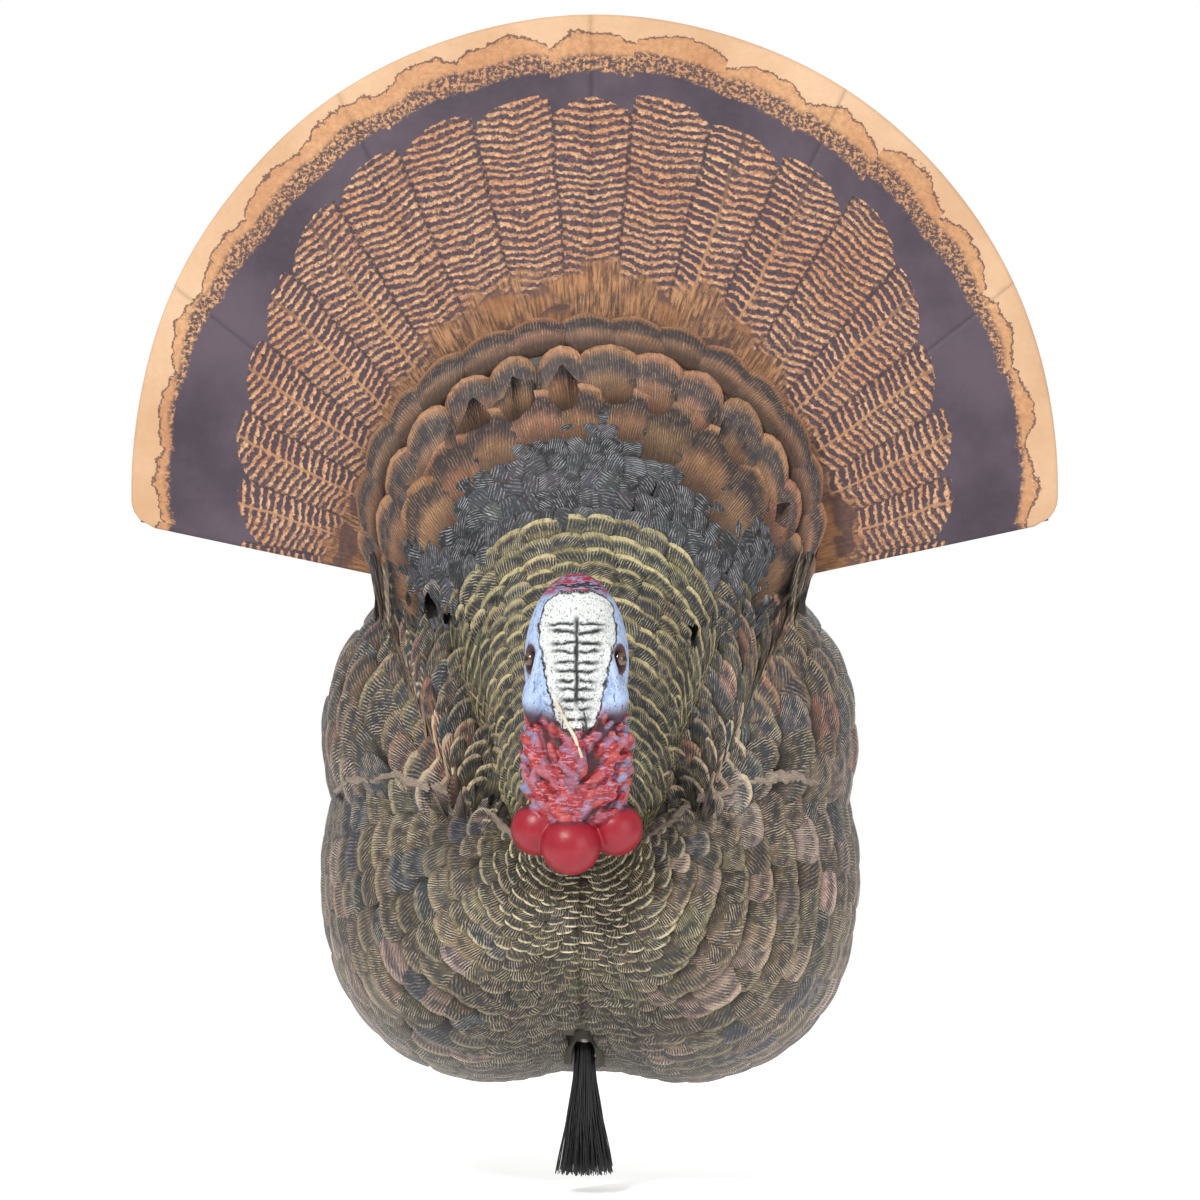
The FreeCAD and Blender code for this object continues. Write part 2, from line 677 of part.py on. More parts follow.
def make_bracket(name, bottom, height, screw_heights, thumb_hole):
    """A block from the spine's rear to a round collar on the tube."""
    half = s.bracket_half_width
    block = box(f"{name}_block", half * 2, -spine_rear(), height, -half, spine_rear(), bottom)
    nose = cylinder(f"{name}_nose", half, height, 0, 0, bottom)
    whole = fuse(f"{name}_whole", [block, nose])
    holes = [cylinder(f"{name}_bore", s.tube_radius + s.slip_gap, height + 2, 0, 0, bottom - 1)]
    for n, z in enumerate(screw_heights):
        holes.append(cylinder(f"{name}_pilot_{n}", screw_hole(), s.screw_length, 0, spine_rear(), z, TO_Y))
    if thumb_hole:
        holes.append(cylinder(f"{name}_thumb", thumb_bore(), half * 2, 0, 0, s.stake_screw_z, TO_Y))
    keep(cut(f"{name}_part", whole, fuse(f"{name}_holes", holes)), name)


def thumb_bore():
    return s.stake_screw_radius + s.run_gap


def make_grip():
    tube = turned("tube_blank", ring(s.stake_radius, s.tube_radius, s.tube_length))
    hole = cylinder("tube_thumb_hole", thumb_bore(), s.tube_radius * 2, 0, 0, s.stake_screw_z, TO_Y)
    keep(cut("grip_tube_part", tube, hole), "grip_tube")
    low, high = s.tube_radius + s.slip_gap, s.cap_radius
    keep(turned("tube_cap_part", [
        (low, -s.cap_skirt), (high, -s.cap_skirt), (high, s.cap_top), (0, s.cap_top), (0, 0), (low, 0),
    ], z=s.tube_length + s.slip_gap), "tube_cap")
    keep(turned("grip_sleeve_part", sleeve_profile()), "grip_sleeve")
    make_bracket("lower_bracket", s.low_bracket_z, s.low_bracket_height, [low_bracket_screw_z(1)], True)
    make_bracket("upper_bracket", s.high_bracket_z, s.high_bracket_height, [high_bracket_screw_z()], False)
    keep(group("bracket_screws_part", [
        screw("bracket_screw_low", 0, s.rim_y, low_bracket_screw_z(1), faces_front=True),
        screw("bracket_screw_high", 0, s.rim_y, high_bracket_screw_z(), faces_front=True),
    ]), "bracket_screws")
    make_stake_screw()


def sleeve_profile():
    """A rubber sleeve with four shallow finger grooves."""
    inner = s.tube_radius + s.slip_gap
    corners = [(inner, s.sleeve_bottom)]
    steps = 16
    for k in range(steps + 1):
        share = k / steps
        groove = 0.5 - 0.5 * math.cos(8 * math.pi * share)
        z = s.sleeve_bottom * (1 - share) + s.sleeve_top * share
        corners.append((s.sleeve_radius - s.sleeve_wave * groove, z))
    corners.append((inner, s.sleeve_top))
    return corners


def make_stake_screw():
    """A thumb screw along Y that presses on the stake."""
    start = s.stake_radius + 0.3
    head = s.bracket_half_width + 3
    shank = cylinder("stake_screw_shank", s.stake_screw_radius, head - start + 2,
                     0, start, s.stake_screw_z, TO_Y)
    grip = star_knob("stake_screw_grip", s.stake_knob_radius, s.stake_knob_height, s.stake_screw_radius * 0.5,
                     0, head, s.stake_screw_z)
    keep(fuse("stake_screw_part", [shank, grip]), "stake_screw")


# ---------------------------------------------------------------- head

def make_head():
    """Skull, throat, beak and three caruncles in one hollow moulding, with a flat seat and eye pockets."""
    skull_y, throat_y = in_front(s.skull_y), in_front(s.skull_y - 3)

    def skull_and_throat(part, inset):
        skull = [s.skull_rx - inset, s.skull_ry - inset, s.skull_rz - inset]
        throat = [s.throat_rx - inset, s.throat_ry - inset, s.throat_rz - inset]
        return [lump(f"{part}_skull", skull, 0, skull_y, s.skull_z),
                lump(f"{part}_throat", throat, 0, throat_y, s.throat_z)]

    lumps = [
        *skull_and_throat("head", 0),
        lump("head_beak", [s.beak_rx, s.beak_ry, s.beak_rz], 0, in_front(s.beak_y), s.beak_z),
        sphere("wattle_middle", s.middle_wattle_radius, -3, in_front(s.middle_wattle_y), s.middle_wattle_z),
        sphere("wattle_left", s.wattle_radius, -s.wattle_x, in_front(s.wattle_y), s.wattle_z),
        sphere("wattle_right", s.wattle_radius, s.wattle_x, in_front(s.wattle_y), s.wattle_z),
        cylinder("head_seat_pad", s.neck_boss_radius, s.skull_y - s.head_seat - s.head_gap,
                 0, in_front(s.skull_y), s.head_z, TO_Y),
    ]
    seat = s.head_seat + s.head_gap
    behind = box("behind_seat", FAR, FAR, FAR, -FAR * 0.5, in_front(seat), 0)
    solid = cut("head_solid", fuse("head_lumps", lumps), behind)
    cavity_end = box("cavity_end", FAR, FAR, FAR, -FAR * 0.5, in_front(seat + s.head_wall), 0)
    cavity = cut("head_cavity", fuse("head_core", skull_and_throat("core", s.head_wall)), cavity_end)
    inserts = [cylinder("stud_insert", s.insert_radius, s.stud_in_head + s.head_wall + 1,
                        0, in_front(seat + s.stud_in_head + s.head_wall), s.head_z, TO_Y)]
    inserts += [eye_ball(f"eye_seat_{n}", s.eye_radius + s.head_wall, sign) for n, sign in ((1, -1), (2, 1))]
    filled = common("head_inserts", fuse("inserts", inserts), solid)
    shell = fuse("head_shell", [cut("head_hollow", solid, cavity), filled])
    holes = fuse("head_holes", [
        *(eye_ball(f"eye_pocket_{n}", s.eye_radius + s.slip_gap, sign) for n, sign in ((1, -1), (2, 1))),
        cylinder("head_stud_hole", s.stud_radius + s.slip_gap, s.stud_in_head + 1,
                 0, in_front(seat + s.stud_in_head), s.head_z, TO_Y),
    ])
    keep(cut("head_part", shell, holes), "head")
    for name, sign in (("left_eye", -1), ("right_eye", 1)):
        keep(eye_ball(f"{name}_part", s.eye_radius, sign), name)


def eye_ball(name, radius, sign):
    return lump(name, [radius, radius, radius], s.eye_x * sign, in_front(s.eye_y), s.eye_z)


def make_head_mount():
    seat = s.head_seat + s.head_gap
    keep(cylinder("head_stud_part", s.stud_radius, s.stud_in_head + s.stud_tail,
                  0, in_front(seat + s.stud_in_head), s.head_z, TO_Y), "head_stud")
    behind = s.head_seat - s.neck_boss_length
    keep(turned("head_washer_part", ring(s.stud_radius + s.run_gap, s.washer_radius, s.washer_thickness),
                0, in_front(behind), s.head_z, TO_Y), "head_washer")
    keep(star_knob("head_knob_part", s.head_knob_radius, s.head_knob_height, s.stud_radius + s.run_gap,
                   0, in_front(behind - s.washer_thickness - s.rib_gap), s.head_z), "head_knob")


# ---------------------------------------------------------------- beard

def make_beard():
    y = in_front(s.beard_y)
    keep(cylinder("beard_pin_part", s.beard_pin_radius, s.beard_collar_radius * 2,
                  -s.beard_collar_radius, y, s.beard_z, TO_X), "beard_pin")
    blank = turned("ferrule_blank", [
        (0, s.ferrule_bottom), (s.ferrule_radius, s.ferrule_bottom),
        (s.ferrule_radius, s.ferrule_top - 2), (s.ferrule_radius - 2, s.ferrule_top), (0, s.ferrule_top),
    ], y=y)
    eye = cylinder("ferrule_eye", s.beard_pin_radius + s.run_gap, s.ferrule_radius * 2 + 2,
                   -s.ferrule_radius - 1, y, s.beard_z, TO_X)
    keep(cut("beard_ferrule_part", blank, eye), "beard_ferrule")
    keep(turned("beard_bristles_part", [
        (0, s.bristle_tip_z), (s.bristle_tip_radius, s.bristle_tip_z),
        (s.bristle_waist_radius, s.bristle_waist_z), (s.ferrule_radius - 0.5, s.ferrule_bottom),
        (0, s.ferrule_bottom),
    ], y=y), "beard_bristles")


# ---------------------------------------------------------------- build and write

def write_parts():
    """Checks every object and shape, then writes each kept sub-part as STEP."""
    doc.recompute()
    failed = [o.Name for o in doc.Objects if {"Invalid", "Error"} & set(o.State)]
    failed += [name for name, item in kept.items() if item.Shape.isNull() or not item.Shape.isValid()]
    if failed:
        raise ValueError(f"these did not build: {failed}")
    os.makedirs("parts", exist_ok=True)
    for old in os.listdir("parts"):
        os.remove(os.path.join("parts", old))
    for name, item in kept.items():
        shape = item.Shape
        print(f"{name}: {len(shape.Solids)} solid(s), {shape.Volume / 1000:.1f} cm3")
        shape.exportStep(os.path.join("parts", f"{name}.step"))


make_shell()
make_spine()
make_crossbar()
make_frame_screws()
make_fan()
make_grip()
make_head()
make_head_mount()
make_beard()
write_parts()
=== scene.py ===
"""Looks of the strutting turkey decoy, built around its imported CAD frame. Points are in millimetres."""

import math

import bmesh
import bpy
import numpy as np
from mathutils import Matrix, Vector


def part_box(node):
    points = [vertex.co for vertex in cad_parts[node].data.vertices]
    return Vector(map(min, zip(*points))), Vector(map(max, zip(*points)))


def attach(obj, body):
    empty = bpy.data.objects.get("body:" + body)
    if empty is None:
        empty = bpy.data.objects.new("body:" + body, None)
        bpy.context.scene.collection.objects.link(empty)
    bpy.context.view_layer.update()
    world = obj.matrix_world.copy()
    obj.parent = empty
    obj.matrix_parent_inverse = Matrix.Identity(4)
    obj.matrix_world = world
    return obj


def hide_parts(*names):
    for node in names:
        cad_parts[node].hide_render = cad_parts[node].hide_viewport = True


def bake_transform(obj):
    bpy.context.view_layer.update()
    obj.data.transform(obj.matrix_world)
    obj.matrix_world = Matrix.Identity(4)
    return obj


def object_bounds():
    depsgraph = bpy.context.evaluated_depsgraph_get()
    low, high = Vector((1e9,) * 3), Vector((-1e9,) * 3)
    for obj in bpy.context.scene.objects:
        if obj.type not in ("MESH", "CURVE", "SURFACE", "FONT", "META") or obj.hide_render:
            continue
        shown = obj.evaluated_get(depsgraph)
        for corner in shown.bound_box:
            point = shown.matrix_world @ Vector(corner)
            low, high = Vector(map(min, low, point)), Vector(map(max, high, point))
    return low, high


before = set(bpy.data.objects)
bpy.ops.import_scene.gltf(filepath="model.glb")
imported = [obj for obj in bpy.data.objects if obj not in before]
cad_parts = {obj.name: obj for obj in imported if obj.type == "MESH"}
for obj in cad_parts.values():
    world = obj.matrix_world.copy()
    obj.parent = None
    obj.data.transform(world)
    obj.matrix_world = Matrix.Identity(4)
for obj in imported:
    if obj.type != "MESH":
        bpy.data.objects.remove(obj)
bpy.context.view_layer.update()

MM = 0.001
RIM_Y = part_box("body_shell")[1].y / MM  # plane of the shell's open back
PIVOT = (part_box("pivot_bolt")[0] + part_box("pivot_bolt")[1]) * 0.5 / MM
WALL = 2.5  # thickness of the moulded shell
SIDES = (("left", -1), ("right", 1))

# ---- meshes


def smooth_step(low, high, value):
    t = np.clip((value - low) / (high - low), 0, 1)
    return t * t * (3 - 2 * t)


def unit(vectors):
    return vectors / np.maximum(np.linalg.norm(vectors, axis=-1, keepdims=True), 1e-9)


def linked(name, data):
    """A new object in the scene."""
    piece = bpy.data.objects.new(name, data)
    bpy.context.scene.collection.objects.link(piece)
    return piece


def new_piece(name, points, faces, material, body=None, slot=None, replaces=None):
    """A smooth mesh object from points in millimetres."""
    mesh = bpy.data.meshes.new(name)
    mesh.from_pydata((np.asarray(points, float) * MM).tolist(), [], faces)
    mesh.validate()
    mesh.polygons.foreach_set("use_smooth", [True] * len(mesh.polygons))
    mesh.materials.append(material)
    piece = linked(name, mesh)
    if body:
        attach(piece, body)
    if replaces:
        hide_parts(replaces)
    return piece


def add_uv(piece, name, uv):
    """A UV map with one (u, v) for each point."""
    mesh = piece.data
    corner = np.zeros(len(mesh.loops), int)
    mesh.loops.foreach_get("vertex_index", corner)
    layer = mesh.uv_layers.new(name=name)
    layer.data.foreach_set("uv", np.asarray(uv, np.float32)[corner].ravel())


def add_colour(piece, name, colours):
    """A colour attribute with one (r, g, b) for each point."""
    layer = piece.data.attributes.new(name, "FLOAT_COLOR", "POINT")
    rgba = np.ones((len(colours), 4), np.float32)
    rgba[:, :3] = colours
    layer.data.foreach_set("color", rgba.ravel())


def grid_quads(rows, columns, close_rows=False, close_columns=False):
    """Faces between neighbouring points of a grid, which may close on itself."""
    index = np.arange(rows * columns).reshape(rows, columns)
    index = np.pad(index, ((0, int(close_rows)), (0, int(close_columns))), mode="wrap")
    return np.stack([index[:-1, :-1], index[1:, :-1], index[1:, 1:], index[:-1, 1:]], -1).reshape(-1, 4)


def wall(rim, below):
    """Faces between a closed line of points and the same line further down."""
    return np.stack([rim, np.roll(rim, -1), np.roll(below, -1), below], -1)


def lofted(rings, way=1):
    """Points and faces of a closed solid through rings of points; way is 1 or -1, as the rings wind."""
    rings = np.asarray(rings, float)
    levels, count = rings.shape[:2]
    first, last = np.arange(count), np.arange(count) + (levels - 1) * count
    faces = grid_quads(levels, count, close_columns=True)[:, ::-way].tolist()
    return rings.reshape(-1, 3), faces + [first[::-way].tolist(), last[::way].tolist()]


def turned(profile, centre, axis, steps=48):
    """Points and faces of a closed turned ring: profile is a loop of (radius, distance along the axis)."""
    axis = Vector(axis).normalized()
    side = axis.orthogonal().normalized()
    other = axis.cross(side)
    points = []
    for turn in np.arange(steps) * 2 * math.pi / steps:
        ray = side * math.cos(turn) + other * math.sin(turn)
        points += [tuple(Vector(centre) + ray * r + axis * h) for r, h in profile]
    return points, grid_quads(steps, len(profile), True, True).tolist()


def joined(parts):
    """Several (points, faces) as one."""
    points, faces = [], []
    for more_points, more_faces in parts:
        first = len(points)
        points += list(more_points)
        faces += [tuple(first + i for i in face) for face in more_faces]
    return points, faces


def evaluated(piece):
    """Replaces a piece's mesh by the result of its modifiers."""
    graph = bpy.context.evaluated_depsgraph_get()
    mesh = bpy.data.meshes.new_from_object(piece.evaluated_get(graph))
    piece.modifiers.clear()
    piece.data = mesh
    return piece


def cut_away(piece, points, faces):
    """Cuts a closed solid out of a closed piece."""
    mesh = bpy.data.meshes.new("cutter")
    mesh.from_pydata((np.asarray(points) * MM).tolist(), [], faces)
    cutter = linked("cutter", mesh)
    modifier = piece.modifiers.new("cut", "BOOLEAN")
    modifier.operation = "DIFFERENCE"
    modifier.solver = "EXACT"
    modifier.object = cutter
    evaluated(piece)
    bpy.data.objects.remove(cutter)


# ---- shader nodes


class Value:
    """A socket of a node material that takes part in plain arithmetic."""

    def __init__(self, shader, socket):
        self.shader, self.socket = shader, socket

    def __abs__(self):
        return self.shader.math("ABSOLUTE", self)


def arithmetic(kind, swapped=False):
    def combine(value, other):
        return value.shader.math(kind, *((other, value) if swapped else (value, other)))
    return combine


for sign_name, node_kind in (("add", "ADD"), ("sub", "SUBTRACT"), ("mul", "MULTIPLY"), ("truediv", "DIVIDE")):
    setattr(Value, f"__{sign_name}__", arithmetic(node_kind))
    setattr(Value, f"__r{sign_name}__", arithmetic(node_kind, swapped=True))


class Shader:
    """A node material or world being built. Most methods return a Value."""

    def __init__(self, name, owners=bpy.data.materials, surface="Principled BSDF"):
        self.material = owners.new(name)
        self.material.use_nodes = True
        self.tree = self.material.node_tree
        self.surface = self.tree.nodes[surface]

    def feed(self, socket, value):
        if isinstance(value, Value):
            self.tree.links.new(value.socket, socket)
        elif value is not None:
            is_colour = socket.type == "RGBA" and len(value) == 3
            socket.default_value = (*value, 1) if is_colour else value

    def node(self, kind, inputs=None, **settings):
        """A new node's outputs."""
        node = self.tree.nodes.new("ShaderNode" + kind)
        for key, value in settings.items():
            setattr(node, key, value)
        for key, value in (inputs or {}).items():
            self.feed(node.inputs[key], value)
        return {key: Value(self, socket) for key, socket in [*enumerate(node.outputs), *node.outputs.items()]}

    def math(self, operation, a, b=None):
        return self.node("Math", {0: a, 1: b}, operation=operation)[0]

    def sine(self, a):
        return self.math("SINE", a)

    def range(self, value, low, high, start=0.0, end=1.0):
        values = {"Value": value, "From Min": low, "From Max": high, "To Min": start, "To Max": end}
        return self.node("MapRange", values, interpolation_type="SMOOTHSTEP")[0]

    def mix(self, share, a, b):
        return self.node("Mix", {0: share, 6: a, 7: b}, data_type="RGBA")[2]

    def noise(self, where, scale, detail=3.0, rough=0.55, warp=0.0):
        values = {"Vector": where, "Scale": scale, "Detail": detail, "Roughness": rough, "Distortion": warp}
        return self.node("TexNoise", values)[0]

    def uv(self, name):
        return self.node("UVMap", uv_map=name)[0]

    def split(self, vector, kind="SeparateXYZ"):
        parts = self.node(kind, {0: vector})
        return parts[0], parts[1], parts[2]

    def joined(self, x, y):
        return self.node("CombineXYZ", {0: x, 1: y})[0]

    def scaled(self, vector, *scale):
        return self.node("Mapping", {"Vector": vector, "Scale": scale})[0]

    def colour(self, name):
        return self.node("Attribute", attribute_name=name)["Color"]

    def channels(self, name):
        """The three channels of a colour attribute."""
        return self.split(self.colour(name), "SeparateColor")

    def place(self):
        """The point in millimetres, in the piece's own frame."""
        return self.scaled(self.node("TexCoord")["Object"], 1 / MM, 1 / MM, 1 / MM)

    def bump(self, height, distance, strength=1.0, under=None):
        values = {"Height": height, "Distance": distance * MM, "Strength": strength, "Normal": under}
        return self.node("Bump", values)[0]

    def stretch(self, value, low, high):
        """A noise's usual 0.3 to 0.7 stretched to low to high."""
        return self.range(value, 0.3, 0.7, low, high)

    def finish(self, colour, rough, normal=None, **constants):
        self.feed(self.surface.inputs["Base Color"], colour)
        self.feed(self.surface.inputs["Roughness"], rough)
        self.feed(self.surface.inputs["Normal"], normal)
        for key, value in constants.items():
            self.surface.inputs[key.replace("_", " ")].default_value = value
        return self.material


def plastic(name, colour, worn, roughness=0.5, grain=1.6):
    """Moulded plastic: fine texture, faint mottling, paler scuffs."""
    s = Shader(name)
    where = s.place()
    mottle = s.noise(where, 0.06, 4)
    scuff = s.range(s.noise(where, 0.35, 6, 0.7), 0.6, 0.75)
    base = s.mix(mottle, colour, [c * 1.5 + 0.004 for c in colour])
    paint = s.mix(scuff * 0.5, base, worn)
    rough = s.stretch(s.noise(where, 0.5, 4), roughness - 0.08, roughness + 0.12)
    return s.finish(paint, rough, s.bump(s.noise(where, grain, 3), 0.06))


def metal(name, colour, dull, roughness, stretch=(1, 1, 1), scale=2.0):
    """Bare metal with drawing lines along one direction and dull spots."""
    s = Shader(name)
    where = s.place()
    lines = s.noise(s.scaled(where, *stretch), scale, 4, 0.6)
    spots = s.range(s.noise(where, 0.25, 5, 0.65), 0.5, 0.72)
    paint = s.mix(spots, s.mix(lines, colour, [c * 0.8 for c in colour]), dull)
    rough = s.range(lines, 0.25, 0.75, roughness - 0.1, roughness + 0.12)
    return s.finish(paint, rough, s.bump(lines, 0.03), Metallic=1.0)


def rubber(name, colour):
    """Matt rubber with fine cross ribs and dust in the grooves."""
    s = Shader(name)
    where = s.place()
    ribs = s.sine(s.split(where)[2] * (2 * math.pi / 2.2))
    grain = s.noise(where, 2.5, 3)
    dust = s.range(s.noise(where, 0.12, 5, 0.7), 0.45, 0.75, 0.0, 0.35)
    paint = s.mix(dust, s.mix(grain, colour, [c * 1.8 for c in colour]), (0.13, 0.125, 0.115))
    rough = s.stretch(grain, 0.72, 0.9)
    return s.finish(paint, rough, s.bump(ribs * 0.5 + grain, 0.16))


def fibreglass(name):
    """Pultruded rod: dark, with fine lengthwise fibres."""
    s = Shader(name)
    where = s.place()
    fibres = s.noise(where, 0.9, 6, 0.75, 2.0)
    paint = s.mix(s.range(fibres, 0.35, 0.7), (0.018, 0.014, 0.012), (0.075, 0.055, 0.042))
    return s.finish(paint, s.stretch(fibres, 0.28, 0.5), s.bump(fibres, 0.05))


def glass_eye(name, centre, look):
    """Brown iris and black pupil about the eye's outward direction."""
    s = Shader(name)
    away = s.node("VectorMath", {0: s.place(), 1: tuple(centre)}, operation="SUBTRACT")[0]
    along = s.node("VectorMath", {0: away, 1: tuple(look)}, operation="DOT_PRODUCT")["Value"]
    facing = along / 5.0
    streaks = s.noise(away, 1.4, 4)
    iris = s.mix(streaks, (0.05, 0.018, 0.008), (0.2, 0.08, 0.025))
    pupil = s.range(facing, 0.9, 0.93)
    white = s.range(facing, 0.62, 0.7)
    paint = s.mix(pupil, s.mix(white, (0.03, 0.012, 0.01), iris), (0.002, 0.002, 0.002))
    return s.finish(paint, s.stretch(streaks, 0.05, 0.12), None, Coat_Weight=1.0, Coat_Roughness=0.03)


# ---- the body's surface

DOMES = [  # x and z of the centre, half width, depth, half height; side ones are on both sides
    (62, 92, 105, 150, 100), (100, 125, 75, 105, 113), (98, 215, 75.5, 98, 100),
    (0, 92, 92, 141.5, 93), (0, 195, 72, 126, 80), (0, 248, 80, 132, 122),
    (0, 325, 131, 88, 115), (0, 365, 151, 34, 124),
]
DOMES += [(-x, *rest) for x, *rest in DOMES if x]
DOME_BACK = 2.0  # the domes' centres lie this far behind the rim
BLEND = 3.0  # softness of the creases between domes
GROOVE_DEPTH, GROOVE_WIDTH = 4.0, 3.0


def body_field(points, inset=0.0):
    """About the distance outside the moulding, negative inside."""
    x, z = points[..., 0], points[..., 2]
    back = RIM_Y + DOME_BACK - points[..., 1]
    total = 0
    for dome_x, dome_z, width, depth, height in DOMES:
        radii = np.array((width, depth + DOME_BACK, height)) - inset
        q = np.stack([x - dome_x, back, z - dome_z], -1) / radii
        near = np.linalg.norm(q, axis=-1)
        slope = np.linalg.norm(q / radii, axis=-1)
        total = total + np.exp(-near * (near - 1) / np.maximum(slope, 1e-6) / BLEND)
    field = -BLEND * np.log(np.maximum(total, 1e-300))
    along = smooth_step(-5, 15, z) * (1 - smooth_step(130, 165, z))
    return field + GROOVE_DEPTH * np.exp(-(x / GROOVE_WIDTH) ** 2) * along * (inset == 0)


def normals_at(points):
    steps = np.eye(3) * 0.5
    return unit(np.stack([body_field(points + step) - body_field(points - step) for step in steps], -1))


def on_front(x, z, inset=0.0):
    """The body's point in front of (x, z)."""
    shape = np.broadcast(x, z).shape
    near, far = np.zeros(shape), np.full(shape, 175.0)
    x, z = np.broadcast_to(x, shape), np.broadcast_to(z, shape)
    for _ in range(26):
        middle = (near + far) / 2
        inside = body_field(np.stack([x, RIM_Y - middle, z], -1), inset) < 0
        near, far = np.where(inside, middle, near), np.where(inside, far, middle)
    return np.stack([x, RIM_Y - near, z], -1)


class Patch:
    """A grid of points on the body; the first index runs across the feathers, the second along them."""

    def __init__(self, points):
        self.points = points
        self.normals = normals_at(points)
        self.across = np.linalg.norm(np.gradient(points, axis=0), axis=-1)
        self.along = np.linalg.norm(np.gradient(points, axis=1), axis=-1)

    def sample(self, grid, i, j):
        i = np.clip(i, 0, grid.shape[0] - 1.001)
        j = np.clip(j, 0, grid.shape[1] - 1.001)
        a, b = i.astype(int), j.astype(int)
        s, t = i - a, j - b
        if grid.ndim == 3:
            s, t = s[..., None], t[..., None]
        near = grid[a, b] * (1 - t) + grid[a, b + 1] * t
        return near * (1 - s) + (grid[a + 1, b] * (1 - t) + grid[a + 1, b + 1] * t) * s


def rim_reach(x, z, turn, inset=0.0, sink=0.0):
    """How far the body's outline is from (x, z) at angles from upright, in the rim's plane."""
    near, far = np.zeros(len(turn)), np.full(len(turn), 460.0)
    for _ in range(30):
        middle = (near + far) / 2
        points = np.stack([x + middle * np.sin(turn), np.full(len(turn), RIM_Y - 0.01),
                           z + middle * np.cos(turn)], -1)
        inside = body_field(points, inset) < -sink
        near, far = np.where(inside, middle, near), np.where(inside, far, middle)
    return near


def ray_patch(x, z, first, last, lines, steps=110):
    """Rays over the body from in front of (x, z) out to the rim, first to last in degrees from upright."""
    turn = np.radians(np.linspace(first, last, lines))
    share = np.sin(np.linspace(0.0, 1.0, steps) * math.pi / 2)
    reach = 5.0 + (rim_reach(x, z, turn) - 5.2)[:, None] * share[None]
    points = on_front(x + reach * np.sin(turn)[:, None], z + reach * np.cos(turn)[:, None])
    return Patch(points)


ARCHES = [(0.0, 38, 150, 40), (0.52, 88, 290, 72), (0.76, 127, 330, 101), (1.0, 151, 365, 124)]


def arch_patch(lines=241, steps=150):
    """Rising arcs over neck, back and rump: half width, height of the middle and rise of each."""
    turn = np.radians(np.linspace(-128, 128, lines))[:, None]
    stops = np.array(ARCHES).T
    wide, middle, tall = (np.interp(np.linspace(0, 1, steps), stops[0], row)[None] for row in stops[1:])
    return Patch(on_front(wide * np.sin(turn), middle + tall * np.cos(turn)))


# ---- feathers


def feather_outline(v, square):
    """Half width of a feather as a share of its full half width, from base 0 to tip 1."""
    tip = np.clip((v - 0.45) / 0.55, 0, 1)
    base = 0.72 + 0.28 * smooth_step(0, 0.45, v)
    return base * (1 - tip ** square) ** (1 / square)


ACROSS, ALONG = 9, 9  # points of one feather


def follow(rule, points):
    """A rule is a number, or a function of the place."""
    return rule(points) if callable(rule) else np.full(points.shape[:-1], float(rule))


